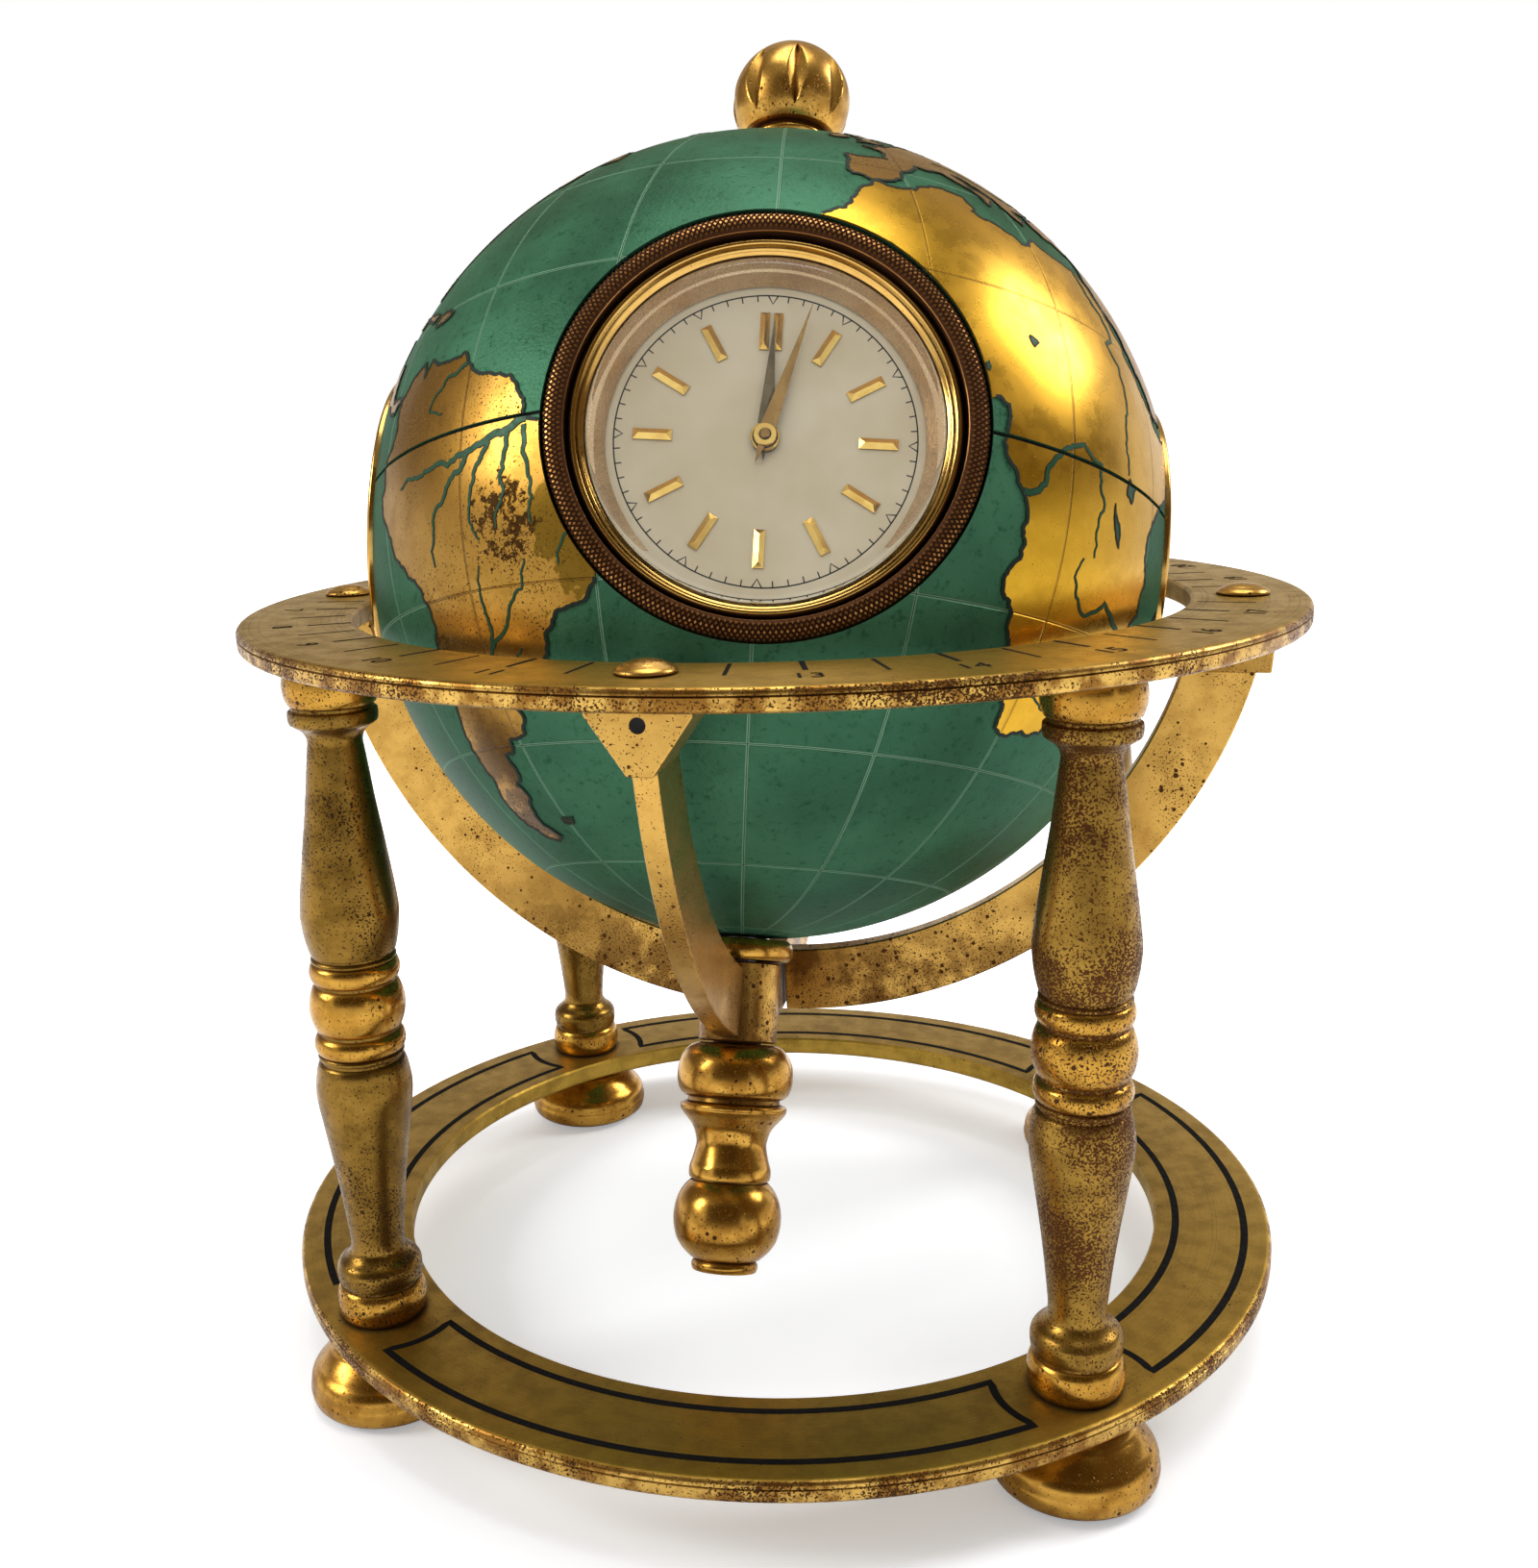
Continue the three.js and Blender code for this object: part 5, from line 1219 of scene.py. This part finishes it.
def cut(piece, cutter):
    """Takes a closed shape in millimetres away from a piece."""
    bmesh.ops.recalc_face_normals(cutter, faces=cutter.faces)
    cutter.transform(Matrix.Scale(MM, 4))
    data = bpy.data.meshes.new("cutter")
    cutter.to_mesh(data)
    cutter.free()
    tool = bpy.data.objects.new("cutter", data)
    bpy.context.collection.objects.link(tool)
    boolean = piece.modifiers.new("Opening", "BOOLEAN")
    boolean.object = tool
    boolean.solver = "EXACT"
    bpy.context.view_layer.update()
    made = bpy.data.meshes.new_from_object(piece.evaluated_get(bpy.context.evaluated_depsgraph_get()))
    piece.modifiers.clear()
    piece.data = made
    bpy.data.objects.remove(tool)
    bpy.data.meshes.remove(data)


class GLOBECLOCK_OT_lands(bpy.types.Operator):
    """Builds the etched lands, their coasts, the rivers and the lakes"""
    bl_idname = "globeclock.lands"
    bl_label = "Lands And Rivers"

    def execute(self, context):
        size = sizes()
        bank, bank_lift, water_lift = 0.22, size.land_lift + 0.03, size.land_lift + 0.05
        land, bright, coast, water = bmesh.new(), bmesh.new(), bmesh.new(), bmesh.new()
        for name, outline in LANDS.items():
            # Africa has its own plate, whose brighter gold is a painted highlight
            plate = bright if name == "africa" else land
            add_land(plate, coast, name, outline, size.land_lift, size.coast_width, size.coast_rough)
        for name, outline in LAKES.items():
            add_land(water, coast, name, outline, bank_lift, size.coast_width * 0.6, size.coast_rough)
        for name, (width, points) in RIVERS.items():
            add_river(coast, name, width + bank, points, bank_lift)
            add_river(water, name, width, points, water_lift)
        for part in (land, bright, coast, water):
            for level in (-SEAM_HALF, SEAM_HALF):
                spot = POLAR @ Vector((0, 0, level))
                up = AXIS.to_3x3() @ Vector((0, 0, 1))
                everything = part.verts[:] + part.edges[:] + part.faces[:]
                bmesh.ops.bisect_plane(part, geom=everything, plane_co=spot, plane_no=up, dist=0.001)
            back = POLAR.inverted()
            gap = [f for f in part.faces if abs((back @ f.calc_center_median()).z) < SEAM_HALF - 0.01]
            bmesh.ops.delete(part, geom=gap, context="FACES")
        make_piece("lands_etched", land, [finish("land")], "globe", crease=40)
        make_piece(
            "land_of_africa_polished_with_painted_highlight", bright, [finish("bright_land")], "globe", crease=40)
        make_piece("coasts_inked", coast, [finish("coast")], "globe")
        make_piece("rivers_inlaid", water, [finish("river")], "globe", crease=40)
        return {"FINISHED"}


class GLOBECLOCK_OT_knob(bpy.types.Operator):
    """Builds the fluted knob and its stepped washer at the north pole"""
    bl_idname = "globeclock.knob"
    bl_label = "Top Knob"

    def execute(self, context):
        middle, half_length, half_width, depth = 80.4, 5.7, 1.75, 1.25
        flute_turn = math.radians(4.7)
        spacing = math.tau / sizes().flute_count

        def flute(angle, height, radius):
            across = abs((angle + spacing / 2 - flute_turn) % spacing - spacing / 2) * radius / half_width
            along = (height - middle) / half_length
            room = 1 - along ** 2
            return -depth * (1 - across / room) * room ** 0.3 if room > 0 and across < room else 0.0

        mesh = bmesh.new()
        neck = moulding([
            (2.7, 71.0), (6.4, 71.0), (6.9, 71.5, 0.1), (6.9, 72.2, 0.1), (6.5, 72.6), (6.3, 73.2),
        ])
        ball = moulding(KNOB_BALL, KNOB_RADIUS, KNOB_RADIUS * 2, KNOB_BOTTOM)
        turned(mesh, neck + ball, POLAR, 320, flute)
        make_piece("knob_fluted", mesh, [finish("knob")], "globe", ["knob"], 28)
        mesh = bmesh.new()
        washer = moulding([
            (2.7, 65.3), (8.0, 65.3), (8.2, 65.5), (8.2, 66.0, 0.1), (7.9, 66.3), (6.6, 67.1, -0.3),
            (5.9, 68.9, -0.2), (5.6, 69.1), (5.6, 69.8, 0.15), (5.2, 70.1), (5.1, 70.7), (2.7, 70.7),
        ])
        turned(mesh, washer, POLAR, 96)
        make_piece("knob_washer_turned", mesh, [finish("knob")], "globe", ["knob_washer"])
        return {"FINISHED"}


class GLOBECLOCK_OT_clock_front(bpy.types.Operator):
    """Builds the knurled ring, the bezel and the crystal of the clock"""
    bl_idname = "globeclock.clock_front"
    bl_label = "Clock Front"

    def execute(self, context):
        place = dial_place("clock")
        mesh = bmesh.new()
        count = sizes().knurl_count
        slope = [
            (29.7, 56.85), (29.35, 57.3), (28.95, 57.62), (28.5, 57.85), (28.0, 57.98), (27.45, 57.98),
            (26.9, 57.8),
        ]
        turned(mesh, [(26.8, 57.65), (26.8, 53.2), (29.7, 53.2), slope[0]], place, count, finish=1)
        turned(mesh, [slope[-1], (26.8, 57.65)], place, count)
        knurl(mesh, slope, count, 0.22, place)
        bmesh.ops.remove_doubles(mesh, verts=mesh.verts, dist=0.001)
        make_piece(
            "knurled_ring_cut", mesh, [finish("bronze"), finish("groove")], "globe",
            ["knurled_ring"], 5)
        mesh = bmesh.new()
        bezel = moulding([
            (21.9, 50.9), (25.8, 50.9), (25.8, 55.6), (26.2, 55.8), (26.2, 56.3), (26.0, 56.95, 0.08),
            (25.65, 57.15, 0.06), (25.3, 57.0, 0.05), (25.0, 56.5), (24.6, 56.2, 0.05), (24.25, 55.9),
            (24.25, 54.3), (23.9, 54.25),
        ])
        turned(mesh, bezel, place, 192)
        wall = moulding([(23.9, 54.25), (23.3, 53.2), (22.9, 53.1), (21.7, 50.95), (21.9, 50.9)])
        turned(mesh, wall, place, 192, finish=1)
        bmesh.ops.remove_doubles(mesh, verts=mesh.verts, dist=0.001)
        make_piece(
            "clock_bezel_turned", mesh, [finish("bezel"), finish("wall")], "clock",
            ["clock_bezel"])
        mesh = bmesh.new()
        edge = [
            (0, 55.1), (23.6, 55.1), (23.9, 55.1), (24.1, 55.2), (24.1, 55.4), (23.85, 55.75),
            (23.4, 56.02), (22.9, 56.14),
        ]
        dome = [(22.5, 56.18), (22.2, 56.2), (16, 56.33), (8, 56.43), (0, 56.47)]
        turned(mesh, edge + dome, place, 144)
        make_piece(
            "clock_crystal_domed", mesh, [finish("glass")], "clock", ["clock_crystal"], 50)
        return {"FINISHED"}


def knurl(mesh, slope, count, proud, place):
    """Diamond points all over a slope, each a small raised table with dark flanks of oxide and painted shade.
    """
    def spot(k, angle, lift):
        radius, level = slope[k]
        before, after = Vector(slope[max(k - 1, 0)]), Vector(slope[min(k + 1, len(slope) - 1)])
        run = (after - before).normalized()
        radius, level = radius + run.y * lift, level - run.x * lift
        return place @ Vector((radius * math.cos(angle), radius * math.sin(angle), level))

    step = math.tau / count
    last = len(slope) - 1
    grid = []
    for k in range(last + 1):
        angles = [step * (i + 0.5 * (k % 2)) for i in range(count)]
        grid.append([mesh.verts.new(spot(k, angle, 0)) for angle in angles])
    for k in range(last + 1):
        for i in range(count):
            left, right = grid[k][i - k % 2], grid[k][(i + 1 - k % 2) % count]
            if k in (0, last):
                mesh.faces.new((left, right, grid[1 if k == 0 else last - 1][i])).material_index = 1
                continue
            sides = [left, grid[k - 1][i], right, grid[k + 1][i]]
            angle = step * (i + 0.5 - 0.5 * (k % 2))
            low, high = spot(k, angle, 0), spot(k, angle, proud)
            table = [mesh.verts.new(high + (v.co - low) * 0.5) for v in sides]
            # The flanks take the dark finish, oxide and painted shade; the table keeps the painted bright
            # bronze
            for a in range(4):
                b = (a + 1) % 4
                mesh.faces.new((sides[a], sides[b], table[b], table[a])).material_index = 1
            mesh.faces.new(table)
    bmesh.ops.recalc_face_normals(mesh, faces=mesh.faces)


def baton(mesh, place, inner, outer, width, low, high):
    """A long marker with four faceted sides and pointed ends of its roof."""
    half = width / 2
    base = [(-half, inner), (half, inner), (half, outer), (-half, outer)]
    ridge = [(0, inner + half), (0, outer - half)]
    floor = [mesh.verts.new(place @ Vector((x, y, low))) for x, y in base]
    eaves = [mesh.verts.new(place @ Vector((x, y, high - 0.5))) for x, y in base]
    roof = [mesh.verts.new(place @ Vector((x, y, high))) for x, y in ridge]
    for i in range(4):
        j = (i + 1) % 4
        mesh.faces.new((floor[i], floor[j], eaves[j], eaves[i]))
    mesh.faces.new((eaves[0], eaves[1], roof[0]))
    mesh.faces.new((eaves[1], eaves[2], roof[1], roof[0]))
    mesh.faces.new((eaves[2], eaves[3], roof[1]))
    mesh.faces.new((eaves[3], eaves[0], roof[0], roof[1]))


def faceted_hand(mesh, place, length, width, waist, tail, level, thickness, hub):
    """A lance-shaped hand with a ridge down its middle and a hub, turned from its bore to its rim."""
    half = width / 2
    lance = [(0, length), (half, waist), (0, -tail), (-half, waist)]
    low = [mesh.verts.new(place @ Vector((x, y, level))) for x, y in lance]
    mid = [mesh.verts.new(place @ Vector((x, y, level + thickness * 0.35))) for x, y in lance]
    crown = mesh.verts.new(place @ Vector((0, waist, level + thickness)))
    mesh.faces.new(low[::-1])
    for i in range(4):
        j = (i + 1) % 4
        mesh.faces.new((low[i], low[j], mid[j], mid[i]))
        mesh.faces.new((mid[i], mid[j], crown))
    bore, rim = hub
    top = level + thickness
    edge = 0.1
    boss = [
        (bore, level), (rim, level), (rim, top - edge), (rim - edge, top), (bore + edge, top),
        (bore, top - edge),
    ]
    turned(mesh, boss + boss[:1], place, 48, finish=1)


class GLOBECLOCK_OT_dial(bpy.types.Operator):
    """Builds the clock's dial with its minute track and batons, and the two hands"""
    bl_idname = "globeclock.dial"
    bl_label = "Dial And Hands"

    def execute(self, context):
        place = dial_place("clock")
        mesh = bmesh.new()
        plate = [
            (1.8, 49.8), (24, 49.8), (24, 50.5), (23.9, CLOCK_FACE), (1.9, CLOCK_FACE), (1.8, 50.5),
            (1.8, 49.8),
        ]
        turned(mesh, plate, place, 144)
        level = CLOCK_FACE + 0.015
        rail, line = 20.6, 0.2
        flat_strip(mesh, arc(rail, 0, 360, 180)[:-1], level, line, place, True, 1)
        for minute in range(60):
            turn = place @ Matrix.Rotation(-math.tau * minute / 60, 4, "Z")
            if minute % 5 == 0:
                flat_strip(mesh, [(-0.7, rail), (0, 19.4), (0.7, rail)], level, line, turn, finish=1)
            else:
                flat_strip(mesh, [(0, rail), (0, 19.7)], level, 0.18, turn, finish=1)
        make_piece(
            "clock_dial_printed", mesh, [finish("dial"), finish("wax")], "clock",
            ["clock_dial"])
        mesh = bmesh.new()
        for hour in range(12):
            turn = place @ Matrix.Rotation(-math.tau * hour / 12, 4, "Z")
            for offset in ((-0.9, 0.9) if hour == 0 else (0,)):
                spot = turn @ Matrix.Translation((offset, 0, 0))
                width = 1.3 if hour == 0 else 1.5
                baton(mesh, spot, inner=12.7, outer=18.0, width=width, low=CLOCK_FACE, high=51.45)
        make_piece("clock_batons_faceted", mesh, [finish("baton")], "clock", crease=15)
        mesh = bmesh.new()
        turn = place @ Matrix.Rotation(-math.radians(1.4), 4, "Z")
        faceted_hand(
            mesh, turn, length=17.2, width=2.3, waist=2.0, tail=3.4, level=51.6, thickness=0.5,
            hub=(1.65, 2.0))
        make_piece(
            "hour_hand_faceted", mesh, [finish("hour"), finish("baton")], "hour_work",
            ["hour_hand"], 12)
        mesh = bmesh.new()
        turn = place @ Matrix.Rotation(-math.radians(16.2), 4, "Z")
        faceted_hand(
            mesh, turn, length=20, width=2.1, waist=1.6, tail=4.2, level=52.4, thickness=0.5, hub=(0.75, 1.6))
        turned(mesh, moulding([(0, 52.6), (0.7, 52.6), (0.7, 53.2), (0.55, 53.35), (0, 53.4)]), place, 32)
        make_piece(
            "minute_hand_faceted", mesh, [finish("minute"), finish("baton")], "minute_work",
            ["minute_hand"], 12)
        return {"FINISHED"}


# Lowest and highest reading, step between numbers, marks to a step, and the angles of the two ends
SCALES = {
    "thermometer": (-30, 50, 10, 5, -120, 120),
    "barometer": (940, 1060, 20, 4, -150, 150),
    "hygrometer": (0, 100, 10, 5, -120, 120),
}


class GLOBECLOCK_OT_weather(bpy.types.Operator):
    """Builds the three weather dials with their scales, pointers and glasses"""
    bl_idname = "globeclock.weather"
    bl_label = "Weather Dials"

    def execute(self, context):
        for name, (low, high, step, parts, start, end) in SCALES.items():
            place = dial_place(name)
            mesh = bmesh.new()
            case = moulding([
                (0, 46), (25, 46), (25, 60.4), (24.85, 60.8, 0.06), (24.4, 61, 0.06), (24.05, 60.85),
                (23.9, 60.6), (23.5, 60.2), (23.5, 47.2), (2, 47.2), (2, 48.9), (0, 48.9),
            ])
            turned(mesh, case, place, 144)
            make_piece(
                f"{name}_case_turned", mesh, [finish("bezel")], "globe", [f"{name}_case"])
            mesh = bmesh.new()
            plate = [
                (1.1, 54.6), (23.2, 54.6), (23.2, 55.3), (23.1, WEATHER_FACE), (1.1, WEATHER_FACE),
                (1.1, 54.6),
            ]
            turned(mesh, plate, place, 144)
            level = WEATHER_FACE + 0.02
            outer, inner, middle, fine = 21.2, 18.9, 20.1, 0.14
            for radius in (outer, inner):
                flat_strip(mesh, arc(radius, 90 - start, 90 - end, 120), level, fine, place, finish=1)
            count = (high - low) // step * parts
            for i in range(count + 1):
                angle = start + (end - start) * i / count
                turn = place @ Matrix.Rotation(-math.radians(angle), 4, "Z")
                long = i % parts == 0
                mark = [(0, outer), (0, inner if long else middle)]
                flat_strip(mesh, mark, level, 0.3 if long else fine, turn, finish=1)
                if long:
                    spot = turn @ Matrix.Translation((0, 16.6, 0))
                    numeral(mesh, str(low + i // parts * step), 2.2, WEATHER_FACE, spot, 0.03, 1)
            make_piece(
                f"{name}_dial_printed", mesh, [finish("silver"), finish("wax")], "globe",
                [f"{name}_dial"])
            mesh = bmesh.new()
            faceted_hand(
                mesh, place, length=17.5, width=1.8, waist=2.0, tail=7.0, level=56.2, thickness=0.4,
                hub=(0.45, 2.0))
            turned(mesh, [(0, 49), (0.8, 49), (0.8, 56.9), (0.7, 57), (0, 57)], place, 32)
            make_piece(
                f"{name}_pointer_blued", mesh, [finish("blued"), finish("blued")], f"{name}_needle",
                [f"{name}_pointer"], 12)
            mesh = bmesh.new()
            bore = 1.1 if name == "barometer" else 0
            glass = [
                (bore, 58.5), (23, 58.5), (23.2, 58.7), (23.2, 58.9), (20, 59.15), (11.6, 59.45),
                (bore, 59.5),
            ]
            turned(mesh, glass + ([(bore, 58.5)] if bore else []), place, 144)
            make_piece(
                f"{name}_glass_ground", mesh, [finish("glass")], "globe",
                [f"{name}_glass"], 50)
        place = dial_place("barometer") @ Matrix.Rotation(math.radians(30), 4, "Z")
        mesh = bmesh.new()
        faceted_hand(
            mesh, place, length=15.5, width=1.4, waist=1.6, tail=1.6, level=57.5, thickness=0.35,
            hub=(0.45, 1.6))
        knob = moulding([
            (0, 57.5), (0.8, 57.5), (0.8, 59.8), (2.2, 59.8), (2.4, 60), (2.4, 61.7, 0.1), (2.1, 62),
            (0, 62, 0.1),
        ])

        def milled(angle, height, radius):
            return 0.12 * math.cos(24 * angle) if radius > 2.2 else 0

        turned(mesh, knob, place, 48, milled)
        make_piece(
            "barometer_set_hand_gilt", mesh, [finish("bezel"), finish("bezel")], "barometer_marker",
            ["barometer_set_hand"], 20)
        return {"FINISHED"}


# The finish of each hidden node that keeps its own shape
WORKS = {
    "column": ["plate_front", "plate_back", "clock_case"],
    "baton": [
        "mainspring_barrel", "hour_wheel", "minute_wheel", "balance_wheel", "winding_key", "setting_knob",
    ],
    "steel": [
        "centre_arbor", "axis_rod", "tie_rod_back_right", "tie_rod_back_left", "tie_rod_front_left",
        "tie_rod_front_right",
    ],
    "black": ["clock_cup"],
}


class GLOBECLOCK_OT_works(bpy.types.Operator):
    """Gives the works, the rods and the clock's cup their finishes"""
    bl_idname = "globeclock.works"
    bl_label = "Works And Rods"

    def execute(self, context):
        for name, nodes in WORKS.items():
            for node in nodes:
                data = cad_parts[node].data
                data.materials.clear()
                data.materials.append(finish(name))
        return {"FINISHED"}


# Place in metres, width, height and colour of each card
CARDS = {
    "card_front": ((0.1, -1.5, 0.95), 2.8, 1.5, "#54452f"),
    "card_back": ((0, 1.3, 0.98), 2.8, 1.1, "#b3a68f"),
    "card_left": ((-1.4, 0, 0.95), 2.6, 1.4, "#7f705a"),
    "card_right": ((1.4, 0, 0.95), 2.6, 1.4, "#6b5a43"),
    "card_top": ((0, 0, 1.7), 2.4, 2.4, "#8a8474"),
}


def make_card(name, spot, width, height, code):
    """A coloured card round the set, seen only in the metal, as a photographer's flags are."""
    shape = bmesh.new()
    facing = (Vector((0, 0, 0.12)) - Vector(spot)).to_track_quat("Z", "Y").to_matrix().to_4x4()
    place = Matrix.Translation(spot) @ facing
    corners = ((-0.5, -0.5), (0.5, -0.5), (0.5, 0.5), (-0.5, 0.5))
    shape.faces.new([shape.verts.new(place @ Vector((x * width, y * height, 0))) for x, y in corners])
    data = bpy.data.meshes.new(name)
    shape.to_mesh(data)
    shape.free()
    card = bpy.data.objects.new(name, data)
    bpy.context.collection.objects.link(card)
    material = bpy.data.materials.new(f"Paper_{name}")
    material.use_nodes = True
    tree = material.node_tree
    tree.nodes.clear()
    add_node(tree, "OutputMaterial", [add_node(tree, "Emission", [linear(code), 1.0])], None)
    data.materials.append(material)
    card.visible_camera = False
    card.visible_diffuse = False
    card.visible_shadow = False
    card.visible_transmission = False


class GLOBECLOCK_OT_stage(bpy.types.Operator):
    """Sets the pale floor, the soft lights and the camera"""
    bl_idname = "globeclock.stage"
    bl_label = "Stage"

    def execute(self, context):
        scene = context.scene
        scene.view_settings.view_transform = "Standard"
        reach = scene.globe_clock_pieces.floor_reach
        floor = bpy.data.meshes.new("studio_floor")
        floor.from_pydata(
            [(-reach, -reach, 0), (reach, -reach, 0), (reach, reach, 0), (-reach, reach, 0)], [],
            [(0, 1, 2, 3)])
        ground = bpy.data.objects.new("studio_floor", floor)
        scene.collection.objects.link(ground)
        floor.materials.append(floor_paper())
        lamps = {
            "key_left": ((-0.97, -0.42, 0.7), 0.45, scene.globe_clock_pieces.key_light),
            "window_right": ((0.9, 0.52, 0.82), 0.45, 6.5),
            "top": ((0.05, 0.1, 1.3), 0.8, 8.0),
        }
        for name, (spot, side, power) in lamps.items():
            lamp = bpy.data.lights.new(name, "AREA")
            lamp.energy = power
            lamp.size = side
            holder = bpy.data.objects.new(name, lamp)
            holder.location = spot
            holder.rotation_euler = (Vector((0, 0, 0.11)) - Vector(spot)).to_track_quat("-Z", "Y").to_euler()
            scene.collection.objects.link(holder)
        for name, (spot, width, height, code) in CARDS.items():
            make_card(name, spot, width, height, code)
        world = bpy.data.worlds.new("studio")
        world.use_nodes = True
        scene.world = world
        tree = world.node_tree
        tree.nodes.clear()
        add = partial(add_node, tree)
        dim = add("Background", [linear("#f2f2f2"), 0.55])
        white = add("Background", [(1, 1, 1, 1), 1.0])
        add("OutputWorld", [add("MixShader", [light_path_mask(add), dim, white])], None)
        # The camera as the photograph's rings, sphere and columns give it
        eye = bpy.data.cameras.new("photograph_view")
        eye.sensor_fit = "VERTICAL"
        eye.sensor_height = 36
        eye.lens = 37.57
        eye.shift_x = 0.0434
        eye.shift_y = 0.0009
        eye.clip_start = 0.01
        camera = bpy.data.objects.new("photograph_view", eye)
        right, up, ahead = (0.9715, 0.2349, -0.0309), (-0.0267, 0.2382, 0.9708), (-0.2353, 0.9424, -0.2377)
        turn = Matrix((right, up, [-a for a in ahead])).transposed().to_4x4()
        camera.matrix_world = Matrix.Translation((0.0548, -0.2692, 0.1570)) @ turn
        scene.collection.objects.link(camera)
        scene.camera = camera
        return {"FINISHED"}


def light_path_mask(add):
    """One for the rays that come from the camera, or by way of a mirror or glass."""
    path = add("LightPath", {}, None)
    seen = add("Math", [path.outputs["Is Camera Ray"], path.outputs["Is Glossy Ray"]], operation="MAXIMUM")
    return add("Math", [seen, path.outputs["Is Transmission Ray"]], operation="MAXIMUM")


def floor_paper():
    """White seamless paper: matt, so that it keeps the soft shadow, and pure white away from the clock."""
    material, add, shader = new_material("Seamless_paper_white", {"Roughness": 0.85})
    place = add("TexCoord", {}, "Object")
    cloud = add("TexNoise", {"Vector": place, "Scale": 1 / (40 * MM), "Detail": 2, "Roughness": 0.5})
    fill(
        shader,
        {"Base Color": add("Mix", {0: cloud, 6: linear("#f4f6fa"), 7: linear("#f0f2f7")}, **COLOURS)})
    away = add("VectorMath", [place], "Value", operation="LENGTH")
    open_floor = add("MapRange", [away, 0.085, 0.15, 0.33, 0.97], **SMOOTH)
    # Metal sees a dimmer floor, or its undersides would glow
    glossy = add("LightPath", {}, "Is Glossy Ray")
    dimmed = add("Math", [glossy, -0.65, open_floor], operation="MULTIPLY_ADD")
    least = add("Math", [dimmed, 0.1], operation="MAXIMUM")
    share = add("Math", [least, light_path_mask(add)], operation="MULTIPLY")
    white = add("Emission", [(1, 1, 1, 1), share])
    both = add("AddShader", [shader.outputs[0], white])
    fill(material.node_tree.nodes["Material Output"], {0: both})
    return material


class GLOBECLOCK_PT_panel(bpy.types.Panel):
    """Lists the pieces of the globe clock"""
    bl_idname = "GLOBECLOCK_PT_panel"
    bl_label = "Globe Clock"
    bl_space_type = "VIEW_3D"
    bl_region_type = "UI"
    bl_category = "Globe Clock"

    def draw(self, context):
        layout = self.layout
        for group in (context.scene.globe_clock_sizes, context.scene.globe_clock_pieces):
            for name in group.__annotations__:
                layout.prop(group, name)
        for operator in OPERATORS:
            layout.operator(operator.bl_idname)


OPERATORS = (
    GLOBECLOCK_OT_stage, GLOBECLOCK_OT_base_ring, GLOBECLOCK_OT_hour_ring, GLOBECLOCK_OT_columns,
    GLOBECLOCK_OT_feet, GLOBECLOCK_OT_cap_screws, GLOBECLOCK_OT_arms, GLOBECLOCK_OT_pivot,
    GLOBECLOCK_OT_sea, GLOBECLOCK_OT_lands, GLOBECLOCK_OT_knob, GLOBECLOCK_OT_clock_front,
    GLOBECLOCK_OT_dial, GLOBECLOCK_OT_weather, GLOBECLOCK_OT_works)
CLASSES = (GlobeClockSizes, GlobeClockPieces) + OPERATORS + (GLOBECLOCK_PT_panel,)


def register():
    for cls in CLASSES:
        bpy.utils.register_class(cls)
    bpy.types.Scene.globe_clock_sizes = bpy.props.PointerProperty(type=GlobeClockSizes)
    bpy.types.Scene.globe_clock_pieces = bpy.props.PointerProperty(type=GlobeClockPieces)


def unregister():
    del bpy.types.Scene.globe_clock_pieces
    del bpy.types.Scene.globe_clock_sizes
    for cls in reversed(CLASSES):
        bpy.utils.unregister_class(cls)


def main():
    """Builds every piece."""
    register()
    for operator in OPERATORS:
        getattr(bpy.ops.globeclock, operator.bl_idname.split(".")[1])()


if __name__ == "__main__":
    main()
